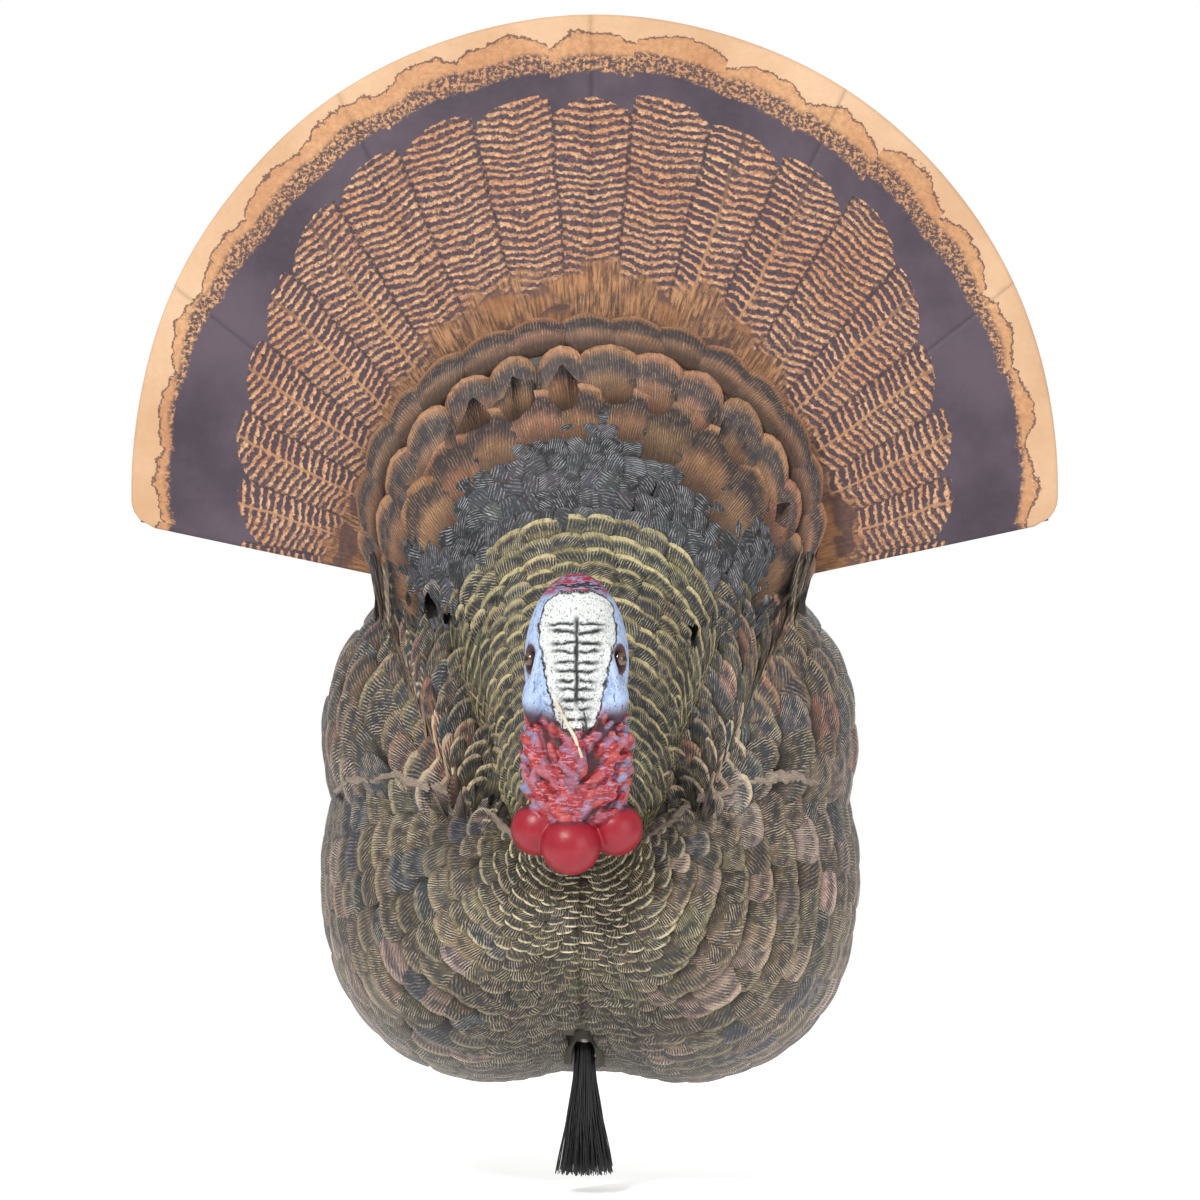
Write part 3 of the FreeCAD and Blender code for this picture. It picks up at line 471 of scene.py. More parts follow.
def grow(name, patch, pitch, width, allowed, tint, seed, material, reach=1.95, lift=1.9, crown=0.5,
         square=3.0, raised=0.0, spread=0.7, side=1, from_rim=False, edging=0.35):
    """Rows of overlapping feathers over a patch. pitch, width and edging are rules."""
    rng = np.random.default_rng(seed)
    row_number = np.cumsum(patch.along / follow(pitch, patch.points), axis=1)
    if from_rim:
        row_number += math.ceil(row_number[:, -1].max()) - row_number[:, -1:] + 0.04
    lines = patch.points.shape[0]
    found = []
    for row in range(1, int(row_number.max()) + 1):
        place = np.array([np.interp(row, row_number[i], np.arange(row_number.shape[1]))
                          for i in range(lines)])
        reached = (row_number[:, -1] > row) & (row_number[:, 0] < row)
        i = rng.random() * 1.5
        while i < lines - 1:
            j = place[int(i)]
            point = patch.sample(patch.points, np.array(i), np.array(j))
            wide = follow(width, point)
            if reached[int(i)] and allowed(point):
                found.append((i, j, wide, follow(pitch, point)))
            i += wide * spread / float(patch.sample(patch.across, np.array(i), np.array(j)))
    i, j, wide, tall = np.array(found).T
    count = len(i)
    jitter = rng.normal(size=(6, count))
    wide = wide * (1 + 0.10 * jitter[0])
    tall = tall * reach * (1 + 0.07 * jitter[1])
    steps = np.sin(np.linspace(0, np.pi / 2, ALONG))  # closer together near the round tip
    u, v = np.meshgrid(np.linspace(-1, 1, ACROSS), steps, indexing="ij")
    local_x = wide[:, None, None] * 0.5 * u * feather_outline(v, square)
    local_y = tall[:, None, None] * (v - 1)
    local_x = local_x + local_y * 0.14 * np.clip(jitter[2], -2, 2)[:, None, None]
    at = patch.sample(patch.across, i, j)[:, None, None], patch.sample(patch.along, i, j)[:, None, None]
    grid_i, grid_j = i[:, None, None] + local_x / at[0], j[:, None, None] + local_y / at[1]
    points = patch.sample(patch.points, grid_i, grid_j)
    normals = patch.sample(patch.normals, grid_i, grid_j)
    height = -0.35 + (lift + 0.35) * v ** 1.2 + crown * (1 - u ** 2) * np.sin(np.pi * np.clip(v, 0, 1) * 0.8)
    height = height + 0.28 * side * u + (0.18 * jitter[3] + raised)[:, None, None]
    top = points + normals * height[..., None]
    rim = ring_of(ACROSS, ALONG)
    flat_top = top.reshape(count, -1, 3)
    drop = np.minimum(lift * 0.6 + 1.0, height + 1.6).reshape(count, -1, 1)
    low = flat_top[:, rim] - normals.reshape(count, -1, 3)[:, rim] * drop[:, rim]
    every = np.concatenate([flat_top, low], 1)
    every[..., 1] = np.minimum(every[..., 1], RIM_Y - 0.4)
    faces = [face[::side] for face in feather_faces(count, rim)]
    piece = new_piece(name, every.reshape(-1, 3), faces, material, "decoy_body", "feather_shell")
    share = np.stack([(u + 1) / 2, v], -1).reshape(-1, 2)
    share = np.concatenate([share, share[rim]])
    add_uv(piece, "feather", np.tile(share, (count, 1)))
    grain = np.stack([local_x, local_y], -1).reshape(count, -1, 2)
    grain = np.concatenate([grain, grain[:, rim]], 1) / 10
    shift = rng.random((count, 1, 2)) * 40
    add_uv(piece, "grain", (grain + shift).reshape(-1, 2))
    base = patch.sample(patch.points, i, j)
    colours = tint(base, rng)
    add_colour(piece, "tint", np.repeat(colours, every.shape[1], 0))
    edges = np.clip(follow(edging, base) * (1 + 0.5 * jitter[5]), 0, 1)
    marks = np.stack([rng.random(count), np.clip(0.5 + 0.25 * jitter[4], 0, 1), edges], -1)
    add_colour(piece, "marks", np.repeat(marks, every.shape[1], 0))


def ring_of(wide, tall):
    """The border of a grid of points, once round."""
    index = np.arange(wide * tall).reshape(wide, tall)
    return np.concatenate([index[:, 0], index[-1, 1:], index[-2::-1, -1], index[0, -2:0:-1]])


def feather_faces(count, rim):
    """Top, edge and underside of every feather of a piece."""
    below = ACROSS * ALONG + np.arange(len(rim))
    one = [*grid_quads(ACROSS, ALONG), *wall(rim, below)[:, ::-1], below[::-1]]
    size = ACROSS * ALONG + len(rim)
    return [(face + k * size).tolist() for k in range(count) for face in one]


def feather_paint(name, shade, comb, edge, band=0.0, band_colour=(0.03, 0.03, 0.035), line=2.2,
                  sheen=(0.3, 0.25, 0.2), edge_start=0.88, comb_amount=0.85, wild=2.2, band_width=0.2):
    """Painted feather: combed barbs fanning outward, painted shade at the roots, a dark band, a pale tip
    edge.
    """
    s = Shader(name)
    u, v, _ = s.split(s.uv("feather"))
    grain = s.uv("grain")
    x, y, _ = s.split(s.scaled(grain, 10, 10, 10))
    tint = s.colour("tint")
    pick, skew, edging = s.channels("marks")
    sideways = u - 0.5
    off_shaft = abs(sideways)
    wobble = s.noise(grain, 2.4, 3, 0.6)
    slant = (skew - 0.5) * wild
    turned_x = x * s.math("COSINE", slant) + y * s.sine(slant)
    fan = sideways * (1.0 - v) * 9.0
    closeness = s.range(pick, 0, 1, 0.8 * 2 * math.pi / line, 1.3 * 2 * math.pi / line)
    phase = (turned_x + fan) * closeness + wobble * 9.0
    barbs = s.range(s.sine(phase), 0.0, 0.85)
    fine = s.range(s.sine(phase * 2.37 + pick * 6.0), -0.3, 1.0)
    patchy = s.range(s.noise(grain, 1.5, 4, 0.65), 0.4, 0.6)
    speck = s.noise(grain, 9.0, 5, 0.75)
    cloud = s.noise(grain, 0.8, 3)
    body = s.mix(s.range(speck, 0.32, 0.68), s.mix(0.6, tint, shade), tint)
    body = s.mix(s.range(cloud, 0.35, 0.65, 0.45, 0.0), body, shade)
    if band:
        rounded = v + (wobble - 0.5) * 0.14 + off_shaft * off_shaft * 0.6
        inner = s.range(rounded, edge_start - band_width - 0.12, edge_start - band_width + 0.06)
        outer = s.range(rounded, edge_start - 0.07, edge_start + 0.02, 1.0, 0.0)
        body = s.mix(inner * outer * band, body, band_colour)
    strokes = barbs * patchy * s.range(pick, 0.0, 0.7, comb_amount * 0.35, comb_amount)
    combed = s.mix(strokes, body, s.mix(0.35, comb, tint))
    # painted shade: the troughs between the barbs are darkened, as if in shadow
    grooves = s.range(s.sine(phase), -0.95, -0.3, 0.75, 0.0)
    combed = s.mix(grooves * s.range(patchy, 0, 1, 0.35, 0.9), combed, shade)
    combed = s.mix(fine * 0.2, combed, shade)
    ragged = v + (speck - 0.5) * 0.13 + off_shaft * off_shaft * 0.35
    tip = s.range(ragged, edge_start, edge_start + 0.06) * (edging * s.range(wobble, 0.3, 0.55))
    painted = s.mix(tip, combed, edge)
    # painted shade: each feather darkens towards its root, where the row above would shadow it
    root_shade = s.range(v, 0.25, 0.6, 0.85, 0.0)
    painted = s.mix(root_shade, painted, [c * 0.5 for c in shade])
    height = barbs * 0.8 + (fine * 0.25 + speck * 0.4)
    normal = s.bump(height, 0.42, 0.95)
    rough = s.stretch(speck, 0.38, 0.62)
    return s.finish(painted, rough, normal, Sheen_Weight=0.03, Sheen_Tint=(*sheen, 1),
                    Specular_IOR_Level=0.38)


CREASE = [(0, 158), (31, 144), (70, 173), (100, 186), (122, 192), (150, 187), (174, 176)]


def crease_z(x):
    """Height of the line where the wings meet the breast."""
    xs, zs = zip(*CREASE)
    return np.interp(np.abs(x), xs, zs)


def clear_of_fittings(point):
    """No feathers where the beard comes out or where the head sits."""
    x, y, z = point
    beard = abs(x) < 13 and RIM_Y - 103 < y < RIM_Y - 36 and z < 42
    seat = math.hypot(x, z - 205) < 17 and y < RIM_Y - 90
    return not beard and not seat and y < RIM_Y - 1.0


def within(point, middle, wide, tall):
    """Whether a point lies in a standing ellipse about the back's centre line."""
    return (point[0] / wide) ** 2 + ((point[2] - middle) / tall) ** 2 < 1


def on_rump(point):
    return point[2] > 316 and not within(point, 330, 127, 101)


def on_back(point):
    return point[2] > 288 and within(point, 330, 131, 105) and not within(point, 290, 86, 70)


def on_neck(point):
    return within(point, 290, 89, 73) or (abs(point[0]) < 80 and point[2] < 290)


def on_wing(point):
    outside = abs(point[0]) > 50 and not within(point, 290, 86, 70)
    return outside and point[2] < 322 and point[2] > crease_z(point[0]) - 4


def patches(points, size, seed):
    """Low-frequency blotches from 0 to 1."""
    return smooth_step(-0.45, 0.45, wobble(points, size, seed))


def blend_of(low, high, share):
    share = np.asarray(share)[..., None]
    return np.asarray(low) * (1 - share) + np.asarray(high) * share


def pale_crease(points, colours):
    """The light line between wing and breast, from the neck out to the sides."""
    x, z = np.abs(points[:, 0]), points[:, 2]
    near = smooth_step(8.0, 2.5, np.abs(z - crease_z(x))) * smooth_step(26, 40, x) * smooth_step(168, 150, x)
    return blend_of(colours, (0.5, 0.4, 0.34), near * 0.9)


def speckled(colours, rng, amount=0.22):
    """Random brightness and a little random hue."""
    bright = np.exp(rng.normal(0, amount, (len(colours), 1)))
    hue = 1 + rng.normal(0, 0.06, colours.shape)
    return np.clip(colours * bright * hue, 0.003, 0.9)


def scatter(colours, rng, chance, colour):
    """Gives some feathers, at random, another colour."""
    colours[rng.random(len(colours)) < chance] = colour


def breast_tint(points, rng):
    side = smooth_step(25, 130, np.abs(points[:, 0]))
    low = smooth_step(95, 15, points[:, 2]) * smooth_step(150, 60, np.abs(points[:, 0]))
    colours = blend_of((0.17, 0.14, 0.06), (0.31, 0.22, 0.145), side)
    colours = blend_of(colours, (0.11, 0.088, 0.06), low)
    colours = blend_of(colours, (0.075, 0.066, 0.05), 0.75 * patches(points, 26, 3) * (1 - 0.6 * side))
    scatter(colours, rng, 0.25 * side, (0.46, 0.32, 0.26))
    scatter(colours, rng, 0.14 * side, (0.1, 0.105, 0.125))
    return speckled(pale_crease(points, colours), rng, 0.32)


def wing_tint(points, rng):
    out = smooth_step(90, 165, np.abs(points[:, 0]))
    near = smooth_step(205, 185, points[:, 2]) * smooth_step(90, 120, np.abs(points[:, 0]))
    colours = blend_of((0.2, 0.165, 0.08), (0.27, 0.175, 0.11), out)
    colours = blend_of(colours, (0.4, 0.3, 0.25), near * 0.8)
    colours = blend_of(colours, (0.07, 0.066, 0.058), 0.75 * patches(points, 22, 5) * (1 - near))
    scatter(colours, rng, 0.24, (0.4, 0.2, 0.13))
    scatter(colours, rng, 0.16, (0.1, 0.11, 0.13))
    return speckled(pale_crease(points, colours), rng, 0.3)


def neck_tint(points, rng):
    colours = blend_of((0.24, 0.2, 0.1), (0.085, 0.08, 0.065), 0.75 * patches(points, 20, 7))
    scatter(colours, rng, 0.28, (0.42, 0.35, 0.19))
    return speckled(colours, rng, 0.28)


def back_tint(points, rng):
    colours = blend_of((0.028, 0.029, 0.032), (0.065, 0.067, 0.073), patches(points, 24, 9))
    scatter(colours, rng, 0.14, (0.13, 0.13, 0.135))
    return speckled(colours, rng, 0.3)


def rump_tint(points, rng):
    colours = np.tile((0.42, 0.22, 0.125), (len(points), 1))
    return speckled(colours, rng, 0.16)


def feather_paints():
    bronze = feather_paint("feather_bronze", (0.02, 0.017, 0.014), (0.78, 0.63, 0.46), (0.6, 0.48, 0.32),
                           band=0.85, band_colour=(0.032, 0.038, 0.05))
    breast = feather_paint("feather_breast", (0.018, 0.015, 0.01), (0.76, 0.64, 0.46), (0.75, 0.65, 0.44),
                           band=0.7, band_colour=(0.03, 0.035, 0.045), line=2.1)
    olive = feather_paint("feather_olive", (0.02, 0.018, 0.013), (0.78, 0.7, 0.5), (0.62, 0.52, 0.28),
                          band=0.9, band_colour=(0.028, 0.033, 0.045), line=2.0, edge_start=0.84)
    slate = feather_paint("feather_slate", (0.02, 0.02, 0.023), (0.62, 0.62, 0.64), (0.12, 0.12, 0.13),
                          sheen=(0.2, 0.22, 0.3), edge_start=0.94, wild=9.0, line=1.9)
    copper = feather_paint("feather_copper", (0.075, 0.04, 0.025), (0.7, 0.5, 0.34), (0.46, 0.24, 0.13),
                           band=0.95, band_colour=(0.035, 0.037, 0.045), line=2.3, edge_start=0.9,
                           comb_amount=0.42, wild=0.6, band_width=0.25)
    return bronze, breast, olive, slate, copper


def make_feathers():
    bronze, breast, olive, slate, copper = feather_paints()
    grow("feathers_breast", ray_patch(0, 158, 60, 300, 241),
         lambda p: 5.2 + 9.8 * smooth_step(20, 110, np.abs(p[..., 0])) + 2.5 * smooth_step(90, 0, p[..., 2]),
         lambda p: 14.0 + 22.0 * smooth_step(20, 110, abs(p[0])),
         lambda p: clear_of_fittings(p) and p[2] < crease_z(p[0]) + 2,
         breast_tint, 11, breast, lift=1.5, crown=0.6, spread=0.72, reach=2.1,
         edging=lambda p: 0.15 + 0.75 * smooth_step(80, 25, np.abs(p[:, 0])) * smooth_step(60, 95, p[:, 2]))
    for side, sign in SIDES:
        grow(f"feathers_wing_{side}", ray_patch(66 * sign, 148, -32 * sign, 110 * sign, 141),
             lambda p: 12.0 + 5.0 * smooth_step(80, 130, np.abs(p[..., 0])),
             lambda p: 23.0 + 17.0 * smooth_step(80, 130, abs(p[0])),
             lambda p: clear_of_fittings(p) and on_wing(p), wing_tint, 23 + sign, bronze, lift=2.4,
             crown=0.9, side=sign, reach=2.1, edging=lambda p: 0.2
             + 0.8 * smooth_step(118, 96, np.abs(p[:, 0])) * smooth_step(232, 212, p[:, 2]))
    arch = arch_patch()
    grow("feathers_rump", arch, 27, 47, on_rump, rump_tint, 47, copper, raised=0.5, lift=3.2, crown=2.2,
         square=2.4, reach=2.0, from_rim=True, edging=0.9)
    grow("feathers_back", arch, 12.5, 17, lambda p: clear_of_fittings(p) and on_back(p), back_tint, 43,
         slate, raised=0.9, spread=0.75, square=3.6)
    grow("feathers_neck", arch, lambda p: 7.0 + 5.0 * smooth_step(190, 330, p[..., 2]),
         lambda p: 18.0 + 10.0 * smooth_step(200, 300, p[2]),
         lambda p: clear_of_fittings(p) and on_neck(p), neck_tint, 41,
         olive, raised=1.0, lift=1.6, edging=0.6)


def make_crease():
    """The soft pale roll of down where each wing meets the breast."""
    down = feather_paint("down", (0.2, 0.16, 0.12), (0.62, 0.52, 0.44), (0.5, 0.42, 0.34), line=1.6, wild=8.0)
    turn = np.arange(16) * math.pi / 8
    share = np.linspace(0, 1, 131)
    lumps = 1 + 0.18 * np.sin(share[:, None] * 210 + 2 * turn)
    lumps = lumps + 0.12 * np.sin(share[:, None] * 97 + 3 * turn)
    for side, sign in SIDES:
        x = np.linspace(34, 164, len(share)) * sign
        base = on_front(x, crease_z(x) + 1.2 * np.sin(x / 5.0) + 0.7 * np.sin(x / 1.9))
        normals = normals_at(base)
        across = np.cross(unit(np.gradient(base, axis=0)), normals)
        radius = (2.5 + 0.9 * np.sin(x / 9.0)) * np.sqrt(np.clip(1 - np.abs(2 * share - 1) ** 4, 0, 1)) + 0.3
        reach = radius[:, None] * lumps
        rings = (base + normals * 1.3)[:, None] + across[:, None] * (np.cos(turn) * reach)[..., None]
        rings = rings + normals[:, None] * (np.sin(turn) * reach * 0.7)[..., None]
        piece = new_piece(f"wing_crease_{side}", *lofted(rings, sign), down, "decoy_body", "feather_shell")
        length = np.cumsum(np.r_[0, np.linalg.norm(np.diff(base, axis=0), axis=1)])
        grain = np.stack([np.tile(turn * 3.4, len(x)), np.repeat(length, len(turn))], -1) / 10
        add_uv(piece, "feather", np.tile((0.5, 0.75), (len(grain), 1)))
        add_uv(piece, "grain", grain)
        add_colour(piece, "tint", np.tile((0.4, 0.31, 0.24), (len(grain), 1)))
        add_colour(piece, "marks", np.tile((0.5, 0.5, 0.0), (len(grain), 1)))


# ---- the moulded shell under the feathers


def shell_grid(inset, sink, rays=200, steps=56):
    """Points over the body from its middle out to the rim, rays round and steps outward."""
    turn = np.linspace(0, 2 * math.pi, rays, endpoint=False)
    share = np.sin(np.linspace(0.02, 1, steps) * math.pi / 2)
    reach = rim_reach(0, 200, turn, inset, sink)[:, None] * share[None]
    points = on_front(reach * np.sin(turn)[:, None], 200 + reach * np.cos(turn)[:, None], inset)
    points[:, -1, 1] = RIM_Y
    points[..., 1] += sink
    points[..., 1] = np.minimum(points[..., 1], RIM_Y)
    return points


def make_shell():
    inner_paint = plastic("shell_inside", (0.05, 0.043, 0.032), (0.1, 0.085, 0.066), 0.6, 0.8)
    outer, inner = shell_grid(0.0, 0.8), shell_grid(WALL, 0.3)
    rays, steps = outer.shape[:2]
    half = rays * steps
    points = np.concatenate([outer.reshape(-1, 3), inner.reshape(-1, 3)])
    quads = grid_quads(rays, steps, close_rows=True)
    middle = points[quads].mean(1)
    slot = (np.abs(middle[:, 0]) < 9) & (np.abs(middle[:, 1] - BEARD_Y) < 22) & (middle[:, 2] < 40)
    centre = np.arange(rays) * steps
    rim = centre + steps - 1
    kept = quads[~slot]
    faces = [*kept.tolist(), *(kept[:, ::-1] + half).tolist(), *wall(rim, rim + half).tolist()]
    edges = {(quad[k], quad[(k + 1) % 4]) for quad in quads[slot].tolist() for k in range(4)}
    faces += [(a, b, b + half, a + half) for a, b in sorted(edges) if (b, a) not in edges]
    faces += [centre[::-1].tolist(), (centre + half).tolist()]
    new_piece("shell_moulding", points, faces, inner_paint, "decoy_body", "feather_shell", "body_shell")
    make_bosses(inner_paint)


BEARD_Y, BEARD_Z = RIM_Y - 78, 39.0  # the beard's pin
BEARD_SWING = 18  # degrees each way
SLOT_RADIUS = 8.0


def beard_cutter():
    """A slot that gives the beard room to swing, widening downward."""
    turn = np.arange(24) * math.pi / 12
    rings = []
    deep = 60.0
    widened = deep * math.tan(math.radians(BEARD_SWING + 1))
    for z, throw in ((BEARD_Z + 25, 0), (BEARD_Z, 0), (BEARD_Z - deep, widened)):
        x, y = SLOT_RADIUS * np.cos(turn), SLOT_RADIUS * np.sin(turn)
        rings.append(np.stack([x, BEARD_Y + y + np.copysign(throw, y + 1e-9), z + 0 * y], -1))
    return lofted(rings, -1)


def make_bosses(material):
    """Screw bosses, neck boss and the beard's collar."""
    parts = []
    screws = [(0, 15), (0, 452), (-152, 235), (152, 235)]
    for x, z in screws:
        start = RIM_Y - (5.0 if x else 0.0)
        depth = RIM_Y - on_front(np.array(float(x)), np.array(float(z)), WALL)[1] + 1.0
        if z == 15:
            depth = min(RIM_Y - on_front(np.array(float(x)), np.array(z + 4.0), WALL)[1], 60.0)
        depth -= RIM_Y - start
        parts.append(turned([(2.1, 0.3), (5.6, 0), (6.0, 0.4), (6.3, depth), (2.1, depth)],
                            (x, start, z), (0, -1, 0), 32))
    parts.append(turned([(4.1, 0), (16.4, 0), (17, 0.6), (17, 29.2), (16.2, 30), (4.1, 30)],
                        (0, RIM_Y - 106, 205), (0, -1, 0), 48))
    bosses = new_piece("shell_bosses", *joined(parts), material, "decoy_body", "feather_shell")
    sharpen_edges(bosses, 40)
    collar_top = 44.0
    collar = new_piece("beard_collar", *turned([(0.5, 8), (13, 8), (13, collar_top - 0.6), (12.4, collar_top),
                                                (0.5, collar_top)], (0, BEARD_Y, 0), (0, 0, 1), 48), material)
    cut_away(collar, *beard_cutter())
    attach(collar, "decoy_body")
    sharpen_edges(collar, 40)


def sharpen_edges(piece, angle):
    """Marks the edges sharper than angle degrees, so that the faces beside them look flat."""
    mesh = bmesh.new()
    mesh.from_mesh(piece.data)
    for edge in mesh.edges:
        if len(edge.link_faces) == 2 and edge.calc_face_angle(0) > math.radians(angle):
            edge.smooth = False
    mesh.to_mesh(piece.data)
    mesh.free()


# ---- fan

FAN_RADIUS, FAN_RISE = 305.0, 89.0  # outline circle, and its centre's height above the pivot
RIB_PITCH = math.radians(26)
CLOTH_INNER, CLOTH = 74.0, 0.45


def cloth_reach(angle):
    rise = FAN_RISE * np.cos(angle)
    return rise + np.sqrt(FAN_RADIUS ** 2 - (FAN_RISE * np.sin(angle)) ** 2)


def rib_front_y(side, number):
    name = "rib_middle" if number == 0 else f"rib_{side}_{number}"
    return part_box(name)[0].y / MM


def gore_points(side, sign, number, across=44, along=110):
    """The front face of one gore: taut over its two ribs, a little slack between them."""
    share = np.linspace(0, 1, across)[:, None]
    angle = RIB_PITCH * (number - 1 + share)
    outer = cloth_reach(angle) - corner_cut(angle, number)
    reach = CLOTH_INNER + (outer - CLOTH_INNER) * np.linspace(0, 1, along)[None]
    if number == 3:
        angle = angle + share ** 3 * 4.6 / reach
    near, far = rib_front_y(side, number - 1), rib_front_y(side, number)
    level = share * share * (3 - 2 * share)
    y = near + (far - near) * level - 0.2 - CLOTH
    far_out = smooth_step(90, 380, reach)
    slack = np.sin(math.pi * share) ** 2 * (1.3 + 2.4 * far_out)
    ripple = np.sin(reach / 47 + number * 1.7 + sign) * np.sin(2 * math.pi * share + number)
    y = y + slack + 0.8 * ripple * far_out * np.sin(math.pi * share)
    x = PIVOT.x + sign * reach * np.sin(angle)
    z = PIVOT.z + reach * np.cos(angle)
    return np.stack([x, y + 0 * x, z], -1)


def corner_cut(angle, number):
    """How much the cloth's outer edge draws in, to round the fan's two lower corners."""
    if number < 3:
        return 0 * angle
    corner = 15.0
    left = np.clip((RIB_PITCH * 3 - angle) * 350, 0, corner)
    return corner - np.sqrt(np.maximum(corner ** 2 - (corner - left) ** 2, 0))


def make_gores():
    front_paint, back_paint = fan_print(), fan_back()
    for side, sign in SIDES:
        for number in (1, 2, 3):
            make_gore(side, sign, number, front_paint, back_paint)


def make_gore(side, sign, number, front_paint, back_paint):
    """One gore: printed front, plain back, shaped to lie between the fronts of its two ribs."""
    front = gore_points(side, sign, number)
    rim = ring_of(*front.shape[:2])
    points = np.concatenate([front.reshape(-1, 3), front.reshape(-1, 3) + np.array((0, CLOTH, 0))])
    half = len(points) // 2
    quads = grid_quads(*front.shape[:2])
    faces = [*quads[:, ::sign], *(quads[:, ::-sign] + half), *wall(rim, rim + half)[:, ::-sign]]
    piece = new_piece(f"gore_cloth_{side}_{number}", points, [face.tolist() for face in faces], front_paint,
                      None, "fan_cloth", f"gore_{side}_{number}")
    piece.data.materials.append(back_paint)
    slots = [0] * len(quads) + [1] * (len(faces) - len(quads))
    piece.data.polygons.foreach_set("material_index", slots)
    add_uv(piece, "flat", (points[:, [0, 2]] - np.array((PIVOT.x, PIVOT.z))) / 100)
    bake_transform(piece)


FEATHER = 156 / 17  # degrees between the fan's printed feathers
WEAVE = 2 * math.pi / 0.9  # threads 0.9 mm apart


def fan_coordinates(s):
    """The cloth's flat UV, x and z in millimetres, distance from the pivot, and from the outline inward."""
    flat = s.uv("flat")
    x, z, _ = s.split(s.scaled(flat, 100, 100, 100))
    above = z - FAN_RISE
    return flat, x, z, s.math("SQRT", x * x + z * z), FAN_RADIUS - s.math("SQRT", x * x + above * above)


def fan_print():
    """Tail feathers printed on cloth: pale hem, sketched scallops, tan tips, dark band, barred vanes."""
    s = Shader("fan_print")
    flat, x, z, radius, inward = fan_coordinates(s)
    turn = s.math("ARCTAN2", x, z) * (180 / math.pi)
    wavy = s.noise(flat, 1.6, 3)
    coarse = s.noise(flat, 3.2, 3)
    grit = s.noise(flat, 26.0, 5, 0.72)
    cell = turn / FEATHER + (0.5 + (coarse - 0.5) * 0.16)
    number = s.math("FLOOR", cell)
    share = s.math("FRACT", cell)
    random = s.node("TexWhiteNoise", {"W": number}, noise_dimensions="1D")[0]
    middle = share - 0.5
    mirrored = middle * s.math("SIGN", turn)
    bow = middle * middle * 26.0 + mirrored * 7.0
    vane = barred_vane(s, flat, radius, mirrored, random, wavy, grit)
    side = s.range(abs(turn), 25, 75)
    dark_start = s.range(side, 0, 1, 35.0, 21.0) + random * 4.0 + bow * 0.3
    dark_end = s.range(side, 0, 0.7, 49.0, 62.0) + random * 9.0 + bow
    ragged = inward + (grit - 0.5) * 7.0
    cloudy = s.noise(flat, 0.9, 4, 0.6)
    band = s.mix(s.range(cloudy, 0.3, 0.7), (0.045, 0.032, 0.045), (0.1, 0.073, 0.095))
    paint = s.mix(s.math("GREATER_THAN", ragged, dark_end), band, vane)
    tips = tan_tips(s, flat, grit, coarse, cloudy, side, inward, dark_start)
    paint = s.mix(s.range(ragged, dark_start - 1.5, dark_start + 1.0, 1.0, 0.0), paint, tips)
    paint = hem_and_scallops(s, paint, flat, inward, share, random, grit, cloudy)
    crumple = s.bump(s.noise(flat, 2.3, 4, 0.6), 1.3, 0.5)
    normal = s.bump(s.sine(x * WEAVE) + s.sine(z * WEAVE), 0.02, 0.5, crumple)
    return s.finish(paint, s.stretch(grit, 0.55, 0.75), normal, Sheen_Weight=0.15, Specular_IOR_Level=0.35)


def barred_vane(s, flat, radius, mirrored, random, wavy, grit):
    """Wavy dark bars on orange tan, strong on one side of the shaft and speckled on the other."""
    off = abs(mirrored)
    arched = radius + (off * -9.0 + (wavy - 0.5) * 15.0)
    shifted = arched + random * 30.0
    jitter = (grit - 0.5) * 7.5 + (s.noise(flat, 11.0, 3) - 0.5) * 4.0
    wave = s.sine((shifted + jitter) * (2 * math.pi / 5.4))
    strong = s.range(mirrored, -0.16, -0.08, 1.0, 0.0) * s.range(random, 0.3, 0.5)
    bars = s.range(wave, s.range(strong, 0, 1, -0.45, -0.7), s.range(strong, 0, 1, 0.15, -0.2))
    speckle = s.range(s.noise(flat, 36.0, 3, 0.75), 0.47, 0.54)
    weak = bars * 0.88 + speckle * 0.45
    dark = s.math("MINIMUM", s.mix(strong, weak, bars * 0.95 + speckle * 0.15), 1.0)
    ground = s.mix(s.range(grit, 0.35, 0.6), (0.3, 0.13, 0.06), (0.72, 0.42, 0.23))
    warm = s.range(s.noise(flat, 2.0, 3), 0.4, 0.65)
    ground = s.mix(warm * 0.5, ground, (0.5, 0.2, 0.075))
    ink = s.mix(grit, (0.04, 0.024, 0.034), (0.085, 0.055, 0.07))
    vane = s.mix(dark, ground, ink)
    edge = s.range(off, 0.45, 0.485)
    vane = s.mix(edge * s.range(grit, 0.42, 0.55), vane, (0.05, 0.03, 0.035))
    shaft = s.range(abs(mirrored + 0.08), 0.014, 0.032, 0.85, 0.0)
    shaft_tone = s.mix(s.range(radius, 230, 330), (0.42, 0.22, 0.11), (0.07, 0.045, 0.045))
    vane = s.mix(shaft * s.range(random, 0.15, 0.25), vane, shaft_tone)
    return coverts(s, vane, flat, radius, grit)


